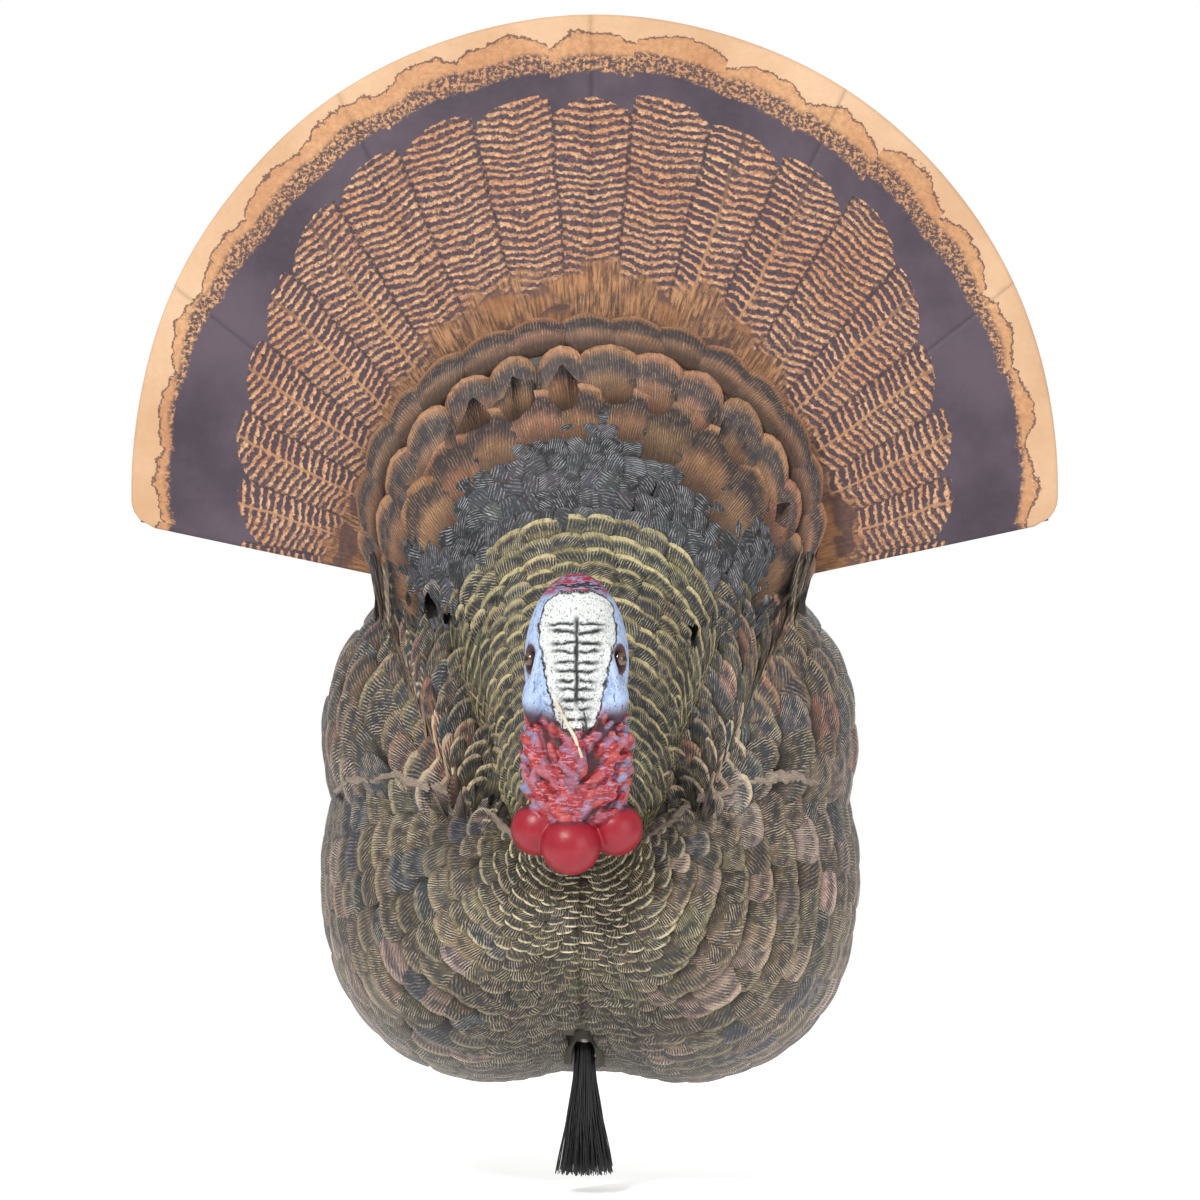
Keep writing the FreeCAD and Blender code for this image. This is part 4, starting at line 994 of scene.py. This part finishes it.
def coverts(s, vane, flat, radius, grit):
    """Small ragged brown feathers with dark tips where the fan meets the body."""
    x, z, _ = s.split(flat)
    turn = s.math("ARCTAN2", x, z) * (180 / math.pi)
    inner = s.range(abs(turn), 12, 60, 226.0, 182.0)
    stray = (s.noise(flat, 3.4, 4, 0.65) - 0.5) * 64.0
    level = inner + stray - radius
    bend = (s.noise(flat, 4.0, 4, 0.7) - 0.5) * 0.7
    spot = s.joined(turn * 0.13 + bend, radius * 0.045 + bend)
    cell = s.node("TexVoronoi", {"Vector": spot, "Scale": 1.0, "Randomness": 0.9})
    pick = s.split(cell["Color"])[0]
    away = s.split(s.node("VectorMath", {0: spot, 1: cell["Position"]}, operation="SUBTRACT")[0])
    streak = s.noise(s.joined(turn * 0.7, radius * 0.02), 2.6, 5, 0.75)
    brown = s.mix(s.range(streak, 0.4, 0.6), (0.075, 0.04, 0.027), (0.5, 0.26, 0.125))
    brown = s.mix(pick * 0.7, brown, (0.3, 0.125, 0.05))
    tip = s.range(away[1], 0.05, 0.3) * s.stretch(pick, 0.1, 0.75)
    paint = s.mix(tip * s.range(streak, 0.3, 0.5, 0.5, 0.95), brown, (0.06, 0.037, 0.048))
    border = s.range(cell["Distance"], 0.4, 0.7, 0.0, 0.5)
    paint = s.mix(border * s.range(grit, 0.4, 0.55), paint, (0.06, 0.035, 0.035))
    return s.mix(s.range(level, -5, 5), vane, paint)


def tan_tips(s, flat, grit, coarse, cloudy, side, inward, dark_start):
    """Orange-tan feather tips, speckled next to the dark band over the top of the fan."""
    ground = s.mix(s.range(cloudy, 0.3, 0.7), (0.52, 0.25, 0.115), (0.68, 0.38, 0.19))
    ground = s.mix(s.stretch(grit, 0.0, 0.5), ground, (0.28, 0.13, 0.065))
    near = dark_start - inward
    reach = s.range(side, 0.3, 1.0, 13.0, 3.0) + (coarse - 0.5) * 12.0
    zone = s.range(near, reach - 3.0, reach + 2.0, 1.0, 0.0)
    speckle = s.range(s.noise(flat, 36.0, 4, 0.75), 0.44, 0.52)
    return s.mix(zone * speckle, ground, (0.09, 0.055, 0.055))


def hem_and_scallops(s, paint, flat, inward, share, random, grit, cloudy):
    """A pale hem outside a thin hand-drawn line that follows the feather tips."""
    jag = s.noise(flat, 5.0, 5, 0.72)
    lobe = abs(s.sine(share * math.pi)) * -7.0
    line_at = 15.0 + lobe + ((jag - 0.5) * 20.0 + random * 7.0)
    gap = inward - line_at
    hem = s.mix(s.range(cloudy, 0.3, 0.7), (0.56, 0.33, 0.18), (0.68, 0.45, 0.28))
    hem = s.mix(s.range(grit, 0.35, 0.7, 0.0, 0.16), hem, (0.45, 0.28, 0.17))
    paint = s.mix(s.range(gap, -0.6, 0.6), hem, paint)
    hairs = s.range(s.sine(s.noise(flat, 16.0, 2) * 40.0), 0.9, 1.0)
    near = s.range(gap, 0.0, 5.5, 0.6, 0.0)
    paint = s.mix(hairs * (near * s.range(gap, -0.5, 0.3)), paint, (0.12, 0.06, 0.05))
    line = s.range(abs(gap), 0.45, 1.0, 0.85, 0.0)
    return s.mix(line, paint, (0.1, 0.05, 0.045))


def fan_back():
    """The cloth's unprinted back, with the print showing through faintly."""
    s = Shader("fan_back")
    flat, x, z, radius, inward = fan_coordinates(s)
    cloudy = s.noise(flat, 1.5, 4)
    base = s.mix(cloudy, (0.42, 0.32, 0.23), (0.55, 0.44, 0.33))
    through = s.range(inward, 24, 32) * s.range(inward, 50, 60, 1.0, 0.0)
    bars = s.range(s.sine((radius + cloudy * 20.0) * (2 * math.pi / 7.0)), 0.0, 0.8)
    ghost = s.math("MAXIMUM", through * 0.45, bars * s.range(inward, 55, 62) * 0.16)
    paint = s.mix(ghost, base, (0.16, 0.12, 0.13))
    crumple = s.bump(s.noise(flat, 2.3, 4), 0.6, 0.4)
    normal = s.bump(s.sine(x * WEAVE) + s.sine(z * WEAVE), 0.03, 0.6, crumple)
    return s.finish(paint, s.stretch(cloudy, 0.7, 0.85), normal, Sheen_Weight=0.2)


# ---- head

HEAD_Y = RIM_Y - 171.0
SEAT_Y = RIM_Y - 136.5
BALLS = ((-24, RIM_Y - 169, 160, 17), (24, RIM_Y - 169, 160, 17), (-3, RIM_Y - 182, 150, 18.5))


def lump_mesh(mesh, centre, radii, detail=4, lean=0.0):
    """Adds an ellipsoid to a bmesh, leaning sideways by some degrees."""
    turn = Matrix.Rotation(math.radians(lean), 4, "Y")
    place = Matrix.Translation(centre) @ turn @ Matrix.Diagonal((*radii, 1))
    bmesh.ops.create_icosphere(mesh, subdivisions=detail, radius=1.0, matrix=place)


def head_front_y(x, z):
    """The skull's and throat's front at (x, z), nearest to the viewer."""
    best = 0.0
    for centre_z, y, width, depth, height in ((263, HEAD_Y, 33, 33, 56), (206, HEAD_Y + 3, 33, 28, 56),
                                              (216, RIM_Y - 196, 8, 11, 29)):
        inside = 1 - (x / width) ** 2 - ((z - centre_z) / height) ** 2
        if inside > 0:
            best = min(best, y - depth * math.sqrt(inside))
    return best


def caruncle_places():
    """Rough elongated lumps over the face's lower half, as matrices that place a unit ball."""
    rng = np.random.default_rng(5)
    places = []
    while len(places) < 250:
        z = rng.uniform(166, 245)
        angle = rng.uniform(-100, 100)
        width = 33 * math.sqrt(max(0.05, 1 - ((z - 206) / 62) ** 2))
        x = width * math.sin(math.radians(angle)) * 0.97
        if abs(x) < 13 and z > 228:
            continue
        y = head_front_y(x, z) if abs(x) < 31 else HEAD_Y + 3 - 26 * math.cos(math.radians(angle))
        size = rng.uniform(2.0, 3.6) * (1.15 - 0.3 * (z > 215))
        lean = math.radians(rng.uniform(20, 80)) * (1 if x < 0 else -1)
        turn = Matrix.Rotation(lean, 4, "Y") @ Matrix.Rotation(math.radians(-angle * 0.6), 4, "Z")
        radii = (size * rng.uniform(1.4, 2.3), size * 1.15, size * 0.8)
        places.append(Matrix.Translation((x, y + 0.8, z)) @ turn @ Matrix.Diagonal((*radii, 1)))
    return places


def nearest_caruncle(points):
    """For each point, which lump it is nearest to and how far out of it, 1 on its surface."""
    best, which = np.full(len(points), 9.0), np.zeros(len(points), int)
    for k, place in enumerate(caruncle_places()):
        back = np.array(place.inverted())
        away = np.linalg.norm(points @ back[:3, :3].T + back[:3, 3], axis=1)
        closer = away < best
        best[closer], which[closer] = away[closer], k
    return best, which


def add_wattles(mesh, rng):
    """Three balls drawn up into necks, with small folds above them."""
    for x, y, z, radius in BALLS:
        lump_mesh(mesh, (x, y, z), (radius, radius * 0.97, radius * 0.98), 5)
        neck = (x * 0.85, y + 2, z + radius * 0.9)
        lump_mesh(mesh, neck, (radius * 0.5, radius * 0.48, radius * 0.62))
        for _ in range(9):
            around = rng.uniform(0, 2 * math.pi)
            aside, forward = radius * 0.42 * math.cos(around), abs(radius * 0.4 * math.sin(around))
            spot = (neck[0] + aside, neck[1] - forward, z + radius * rng.uniform(0.85, 1.25))
            lump_mesh(mesh, spot, (2.2, 2.0, rng.uniform(3.0, 6.0)), 2)


def build_head_mesh():
    """Skull, throat, brows, cheeks, beak, caruncles and balls, remeshed into one skin."""
    rng = np.random.default_rng(5)
    mesh = bmesh.new()
    lump_mesh(mesh, (0, HEAD_Y, 263), (32.4, 32.4, 55.5), 5)
    lump_mesh(mesh, (0, HEAD_Y + 3, 206), (31.5, 26.5, 55), 5)
    for sign in (-1, 1):
        lump_mesh(mesh, (22.5 * sign, HEAD_Y - 21, 262), (3.2, 6, 24), lean=-14 * sign)
        lump_mesh(mesh, (25 * sign, HEAD_Y - 13, 240), (8, 11, 15))
    lump_mesh(mesh, (0, RIM_Y - 196, 216), (8, 11, 29))
    lump_mesh(mesh, (0, SEAT_Y - 10, 205), (19, 14, 24))
    for place in caruncle_places():
        bmesh.ops.create_icosphere(mesh, subdivisions=2, radius=1.0, matrix=place)
    add_wattles(mesh, rng)
    data = bpy.data.meshes.new("head_sculpt")
    mesh.to_mesh(data)
    mesh.free()
    data.transform(Matrix.Scale(MM, 4))
    piece = linked("head_sculpt", data)
    remesh = piece.modifiers.new("remesh", "REMESH")
    remesh.mode = "VOXEL"
    remesh.voxel_size = 0.95 * MM
    soften = piece.modifiers.new("soften", "SMOOTH")
    soften.iterations = 3
    soften.factor = 0.5
    return evaluated(piece)


CROWN_TOP, CROWN_LOW = 306.0, 222.0
CRACKS = (287, 281, 275, 269, 263, 257, 251.5, 246, 240, 234, 228)  # heights of the crown's cross cracks


def crown_half_width(z):
    return np.interp(z, (219, 227, 244, 265, 286, 300, 309), (7, 12.5, 16.5, 21, 24, 20, 8))


def wobble(points, scale, seed):
    """Smooth random numbers about 0, a few sines of the place."""
    rng = np.random.default_rng(seed)
    total = 0
    for _ in range(5):
        way = rng.normal(size=3) / scale
        total = total + np.sin(points @ way * 2.2 + rng.uniform(0, 6.3))
    return total / 5


def make_head():
    piece = build_head_mesh()
    count = len(piece.data.vertices)
    flat = np.zeros(count * 3)
    piece.data.vertices.foreach_get("co", flat)
    points = flat.reshape(-1, 3) / MM
    piece.data.vertices.foreach_get("normal", flat)
    normals = flat.reshape(-1, 3)
    x, _, z = points.T
    front = smooth_step(0.1, 0.45, -normals[:, 1])
    rough = wobble(points, 3.0, 1) + 0.6 * wobble(points, 1.3, 2)
    inside = crown_half_width(z) - np.abs(x - 1.5) + 1.6 * rough
    crown = smooth_step(-1.0, 1.0, inside) * smooth_step(CROWN_LOW - 3, CROWN_LOW + 2, z + 2 * rough)
    crown *= smooth_step(CROWN_TOP + 3, CROWN_TOP - 2, z + 2 * rough) * front
    crack = crack_lines(x - 1.5, z, rough)
    away, which = nearest_caruncle(points)
    ball = ball_mask(points)
    lumpy = smooth_step(246, 236, z + 3 * rough) * (1 - crown)
    cheek = smooth_step(228, 240, z + np.abs(x) * -0.25 + 6) * (1 - crown) * smooth_step(312, 300, z)
    depth = -0.9 * crack * crown + 0.35 * rough * (1 - ball) * (0.4 + 0.6 * lumpy)
    depth -= 2.4 * smooth_step(1.35, 0.8, eye_away(points))
    points = points + normals * depth[:, None]
    points[:, 1] = np.minimum(points[:, 1], SEAT_Y)
    piece.data.vertices.foreach_set("co", (points * MM).ravel())
    piece.data.update()
    tones = np.random.default_rng(6).random((250, 2))[which]
    # first channel: how far a point lies out between the lumps, used for the painted shade in the gaps
    add_colour(piece, "lumps", np.stack([smooth_step(1.02, 1.5, away), tones[:, 0], tones[:, 1]], -1))
    add_colour(piece, "areas", np.stack([crown, cheek * (1 - ball), ball], -1))
    rim = smooth_step(1.75, 1.45, eye_away(points))
    add_colour(piece, "lines", np.stack([crack, rim, smooth_step(302, 309, z + 2 * rough)], -1))
    piece.data.polygons.foreach_set("use_smooth", [True] * len(piece.data.polygons))
    piece.data.materials.append(head_paint())
    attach(piece, "head")
    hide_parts("head")
    make_beak_edge()


def crack_lines(x, z, rough):
    """Black cracks: one down the middle and bowed ones across."""
    total = smooth_step(2.0, 0.7, np.abs(x + 0.8 * rough)) * smooth_step(232, 242, z)
    total = total * smooth_step(294, 288, z)
    for k, height in enumerate(CRACKS):
        bowed = z - height - np.abs(x) * (0.10 if k % 2 else -0.04) + 1.1 * rough
        reach = smooth_step(21 - k, 14 - k, np.abs(x)) * smooth_step(0.0, 2.0, np.abs(x) + (k % 3) - 0.5)
        total = np.maximum(total, smooth_step(1.5, 0.6, np.abs(bowed)) * reach)
    return total


def ball_mask(points):
    mask = np.zeros(len(points))
    for x, y, z, radius in BALLS:
        away = np.linalg.norm(points - np.array((x, y, z)), axis=1)
        near = smooth_step(radius + 1.4, radius + 0.5, away)
        mask = np.maximum(mask, near * smooth_step(z + radius * 0.86, z + radius * 0.6, points[:, 2]))
    return mask


def eye_away(points):
    """Distance in the eyes' plane from each vertical oval eye opening, 1 at its edge."""
    places = [np.array(eye_centre(side)) / MM for side, _ in SIDES]
    return np.min([np.linalg.norm((points - place) / (5.2, 5.2, 6.2), axis=1) for place in places], axis=0)


def eye_centre(side):
    low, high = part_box(f"{side}_eye")
    return (low + high) * 0.5


def head_paint():
    """White crown with black cracks, pale blue cheeks, red and blue streaks, satin crimson balls."""
    s = Shader("head_skin")
    where = s.place()
    crown, cheek, ball = s.channels("areas")
    crack, rim, top = s.channels("lines")
    fine = s.noise(where, 0.9, 5, 0.7)
    broad = s.noise(where, 0.12, 4, 0.6)
    along = s.noise(s.scaled(where, 0.5, 0.5, 1.6), 0.32, 4, 0.65, 0.8)
    red = s.mix(s.range(fine, 0.3, 0.7), (0.2, 0.006, 0.014), (0.5, 0.035, 0.04))
    pale = s.mix(s.range(broad, 0.35, 0.6), (0.28, 0.3, 0.5), (0.72, 0.3, 0.3))
    skin = s.mix(s.range(along, 0.5, 0.6, 0.0, 0.75), red, pale)
    skin = s.mix(s.range(along, 0.3, 0.4, 0.8, 0.0), skin, (0.05, 0.02, 0.04))
    gap, tone, hue = s.channels("lumps")
    flank = s.range(abs(s.split(where)[0]), 16, 30)
    bluish = s.range(tone, 0.62, 0.7) * (0.35 + flank * 0.6)
    skin = s.mix(bluish, skin, s.mix(fine, (0.1, 0.11, 0.25), (0.4, 0.38, 0.52)))
    skin = s.mix(s.range(hue, 0.7, 0.8) * 0.6, skin, (0.5, 0.09, 0.08))
    # painted shade: the skin darkens in the gaps between the caruncle lumps
    skin = s.mix(gap * 0.9, skin, (0.03, 0.008, 0.014))
    blue = s.mix(s.range(fine, 0.3, 0.7), (0.3, 0.42, 0.72), (0.56, 0.68, 0.86))
    scratch = s.range(s.noise(s.scaled(where, 1, 1, 0.35), 0.5, 5, 0.7), 0.56, 0.62)
    blue = s.mix(scratch * 0.75, blue, (0.03, 0.03, 0.06))
    paint = s.mix(cheek, skin, blue)
    stripes = s.noise(s.scaled(where, 0.25, 0.25, 1.9), 0.35, 4, 0.6)
    cap = s.mix(s.range(stripes, 0.46, 0.52), (0.34, 0.014, 0.035), (0.3, 0.3, 0.46))
    cap = s.mix(s.range(stripes, 0.54, 0.58), cap, (0.02, 0.012, 0.02))
    paint = s.mix(top, paint, cap)
    spatter = s.range(s.noise(where, 0.7, 6, 0.8), 0.54, 0.6)
    border = s.range(crown, 0.02, 0.2) * s.range(crown, 0.75, 0.98, 1.0, 0.0)
    white = s.mix(s.range(fine, 0.35, 0.65), (0.6, 0.63, 0.62), (0.8, 0.81, 0.79))
    paint = s.mix(crown, paint, s.mix(spatter * 0.9, white, (0.02, 0.02, 0.025)))
    paint = s.mix(crack * crown, paint, (0.008, 0.008, 0.01))
    paint = s.mix(border * s.range(fine, 0.36, 0.5), paint, (0.012, 0.011, 0.014))
    paint = s.mix(rim, paint, (0.09, 0.03, 0.035))
    satin = s.mix(broad, (0.22, 0.004, 0.014), (0.38, 0.01, 0.026))
    paint = s.mix(ball, paint, satin)
    rough = s.mix(ball, s.stretch(fine, 0.38, 0.6), s.stretch(fine, 0.33, 0.43))
    normal = s.bump(fine * (1.0 - ball * 0.85) + broad, 0.35)
    return s.finish(paint, rough, normal, Subsurface_Weight=0.04)


def make_beak_edge():
    """The ivory edge of the beak, a raised line that curves down over the face."""
    s = Shader("beak_edge")
    grain = s.noise(s.place(), 0.8, 4)
    paint = s.mix(grain, (0.62, 0.5, 0.33), (0.82, 0.73, 0.55))
    material = s.finish(paint, s.stretch(grain, 0.3, 0.45), s.bump(grain, 0.1))
    steps, turns = 40, np.arange(10) * math.pi / 5
    line = []
    for z in 240 - 45.6 * np.arange(steps + 1) / steps:
        x = float(np.interp(z, (194.4, 205, 217.5, 228, 236.4, 240), (7.1, 5.0, 0.8, -5.5, -9.7, -11.0)))
        line.append(Vector((x, head_front_y(x, z) - 1.6, z)))
    rings = []
    for k, centre in enumerate(line):
        thick = 0.3 + 0.85 * math.sin(math.pi * min(1, k / steps * 0.92 + 0.06)) ** 0.7
        forward = (line[min(k + 1, steps)] - line[max(k - 1, 0)]).normalized()
        side = forward.cross(Vector((0, 1, 0))).normalized()
        out = forward.cross(side) * 1.2
        rings.append([centre + (side * math.cos(turn) + out * math.sin(turn)) * thick for turn in turns])
    new_piece("beak_edge", *lofted(rings), material, "head", "head_skin")


# ---- beard


def bristle_paint():
    s = Shader("bristle")
    where = s.place()
    strand = s.noise(s.scaled(where, 1, 1, 0.08), 1.1, 3)
    paint = s.mix(s.range(strand, 0.35, 0.7), (0.004, 0.004, 0.004), (0.02, 0.018, 0.018))
    return s.finish(paint, s.stretch(strand, 0.32, 0.52), s.bump(strand, 0.05))


def make_beard():
    """A crimped tuft of stiff bristles that flares towards its cut ends."""
    rng = np.random.default_rng(31)
    low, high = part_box("beard_bristles")
    top, bottom = high.z / MM, low.z / MM
    mouth, waist, tip = 5.2, 7.6, 18.5
    corners = np.arange(4) * math.pi / 2
    bristles = []
    for _ in range(420):
        spread = math.sqrt(rng.random())
        around = rng.uniform(0, 2 * math.pi)
        end = bottom + rng.uniform(0, 1) ** 2 * 9
        twist = rng.normal(0, 0.25)
        curl = rng.normal(0, 0.9, 2)
        thick = rng.uniform(0.42, 0.6)
        t = np.linspace(0, 1, 11)
        z = top + (end - top) * t
        radius = np.interp(z, (bottom, -4, top), (tip, waist, mouth)) * spread
        turn, size = around + twist * t, (thick * (1 - 0.45 * t))[:, None]
        x = radius * np.cos(turn) + curl[0] * t * np.sin(5 * t)
        y = BEARD_Y + radius * np.sin(turn) + curl[1] * t * np.sin(4 * t + 1)
        x, y = x[:, None] + size * np.cos(corners), y[:, None] + size * np.sin(corners)
        bristles.append(lofted(np.stack(np.broadcast_arrays(x, y, z[:, None]), -1), -1))
    new_piece("beard_tuft", *joined(bristles), bristle_paint(), "beard", "bristle", "beard_bristles")


# ---- CAD nodes that stay


def dress(material, *names):
    for name in names:
        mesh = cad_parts[name].data
        mesh.materials.clear()
        mesh.materials.append(material)


def dress_frame():
    """Materials for the frame, fan ribs, fasteners, grip and eyes, whose CAD shapes stay."""
    black = plastic("frame_plastic", (0.02, 0.02, 0.019), (0.11, 0.11, 0.105), 0.5)
    dress(black, "spine", "crossbar", "lower_bracket", "upper_bracket", "tube_cap")
    dress(plastic("knob_plastic", (0.012, 0.012, 0.012), (0.08, 0.08, 0.08), 0.42, 1.2),
          "fan_knob", "head_knob", "stake_screw")
    dress(plastic("nylon", (0.5, 0.48, 0.42), (0.62, 0.6, 0.55), 0.45, 0.8), "pivot_spacer", "mast_spacer")
    dress(metal("zinc_steel", (0.6, 0.6, 0.6), (0.36, 0.35, 0.33), 0.34),
          "clamp_washer", "pivot_bolt", "mast_screw", "spine_screws", "crossbar_screws", "bracket_screws",
          "head_stud", "head_washer", "beard_pin")
    drawn = metal("drawn_aluminium", (0.68, 0.68, 0.69), (0.42, 0.42, 0.43), 0.36, (1, 1, 0.04), 3.0)
    dress(drawn, "grip_tube")
    dress(metal("ferrule", (0.5, 0.49, 0.47), (0.25, 0.24, 0.22), 0.42, (1, 1, 0.1), 2.0), "beard_ferrule")
    dress(rubber("grip_rubber", (0.018, 0.018, 0.018)), "grip_sleeve")
    dress(fibreglass("rib"), "rib_middle", *(f"rib_{side}_{n}" for side, _ in SIDES for n in (1, 2, 3)))
    for side, sign in SIDES:
        look = Vector((0.72 * sign, -0.69, 0)).normalized()
        dress(glass_eye(f"{side}_eye", eye_centre(side) / MM, look), f"{side}_eye")


# ---- floor, light, camera


def stage_scene():
    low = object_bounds()[0].z
    s = Shader("floor")
    grain = s.noise(s.node("TexCoord")["Object"], 6.0, 3)
    paint = s.mix(grain, (0.92, 0.92, 0.92), (0.94, 0.94, 0.935))
    material = s.finish(paint, s.stretch(grain, 0.85, 0.95), Emission_Color=(1, 1, 1, 1),
                        Emission_Strength=0.3)
    mesh = bpy.data.meshes.new("floor")
    half = 1.3  # metres
    corners = [(-half, -half, 0), (half, -half, 0), (half, half, 0), (-half, half, 0)]
    mesh.from_pydata(corners, [], [(0, 1, 2, 3)])
    mesh.materials.append(material)
    floor = linked("floor", mesh)
    floor.location.z = low - 0.012


def area_light(name, place, target, size, power):
    light = bpy.data.lights.new(name, "AREA")
    light.size = size
    light.energy = power
    lamp = linked(name, light)
    lamp.location = place
    lamp.rotation_euler = (Vector(target) - Vector(place)).to_track_quat("-Z", "Y").to_euler()


def make_light():
    """A soft studio: dim walls, a bright wall behind the decoy, and three large lamps."""
    s = Shader("studio", bpy.data.worlds, "Background")
    behind = s.split(s.node("TexCoord")["Generated"])[1]
    s.surface.inputs["Color"].default_value = (1, 1, 1, 1)
    s.feed(s.surface.inputs["Strength"], s.range(behind, 0.55, 0.9, 0.48, 1.0))
    bpy.context.scene.world = s.material
    bpy.context.scene.view_settings.view_transform = "Standard"
    middle = (0, -0.1, 0.25)
    area_light("key", (-1.0, -2.2, 2.1), middle, 0.7, 64)
    area_light("fill", (1.7, -2.0, 0.7), middle, 1.5, 17)
    area_light("rim_light", (0.4, 1.6, 1.6), middle, 1.2, 20)


CAMERA_AWAY, CAMERA_TURN, CAMERA_RISE = 3.21, 2.8, -1.0  # metres and degrees


def make_camera():
    camera = bpy.data.cameras.new("camera")
    camera.lens = 146.6
    camera.sensor_width = 36
    lens = linked("camera", camera)
    turn, rise = math.radians(CAMERA_TURN), math.radians(CAMERA_RISE)
    target = Vector((0.0055, -0.035, 0.305))
    back = Vector((math.sin(turn) * math.cos(rise), -math.cos(turn) * math.cos(rise), math.sin(rise)))
    lens.location = target + back * CAMERA_AWAY
    lens.rotation_euler = (-back).to_track_quat("-Z", "Y").to_euler()
    bpy.context.scene.camera = lens


stage_scene()
make_light()
make_camera()
dress_frame()
make_shell()
make_feathers()
make_crease()
make_gores()
make_head()
make_beard()
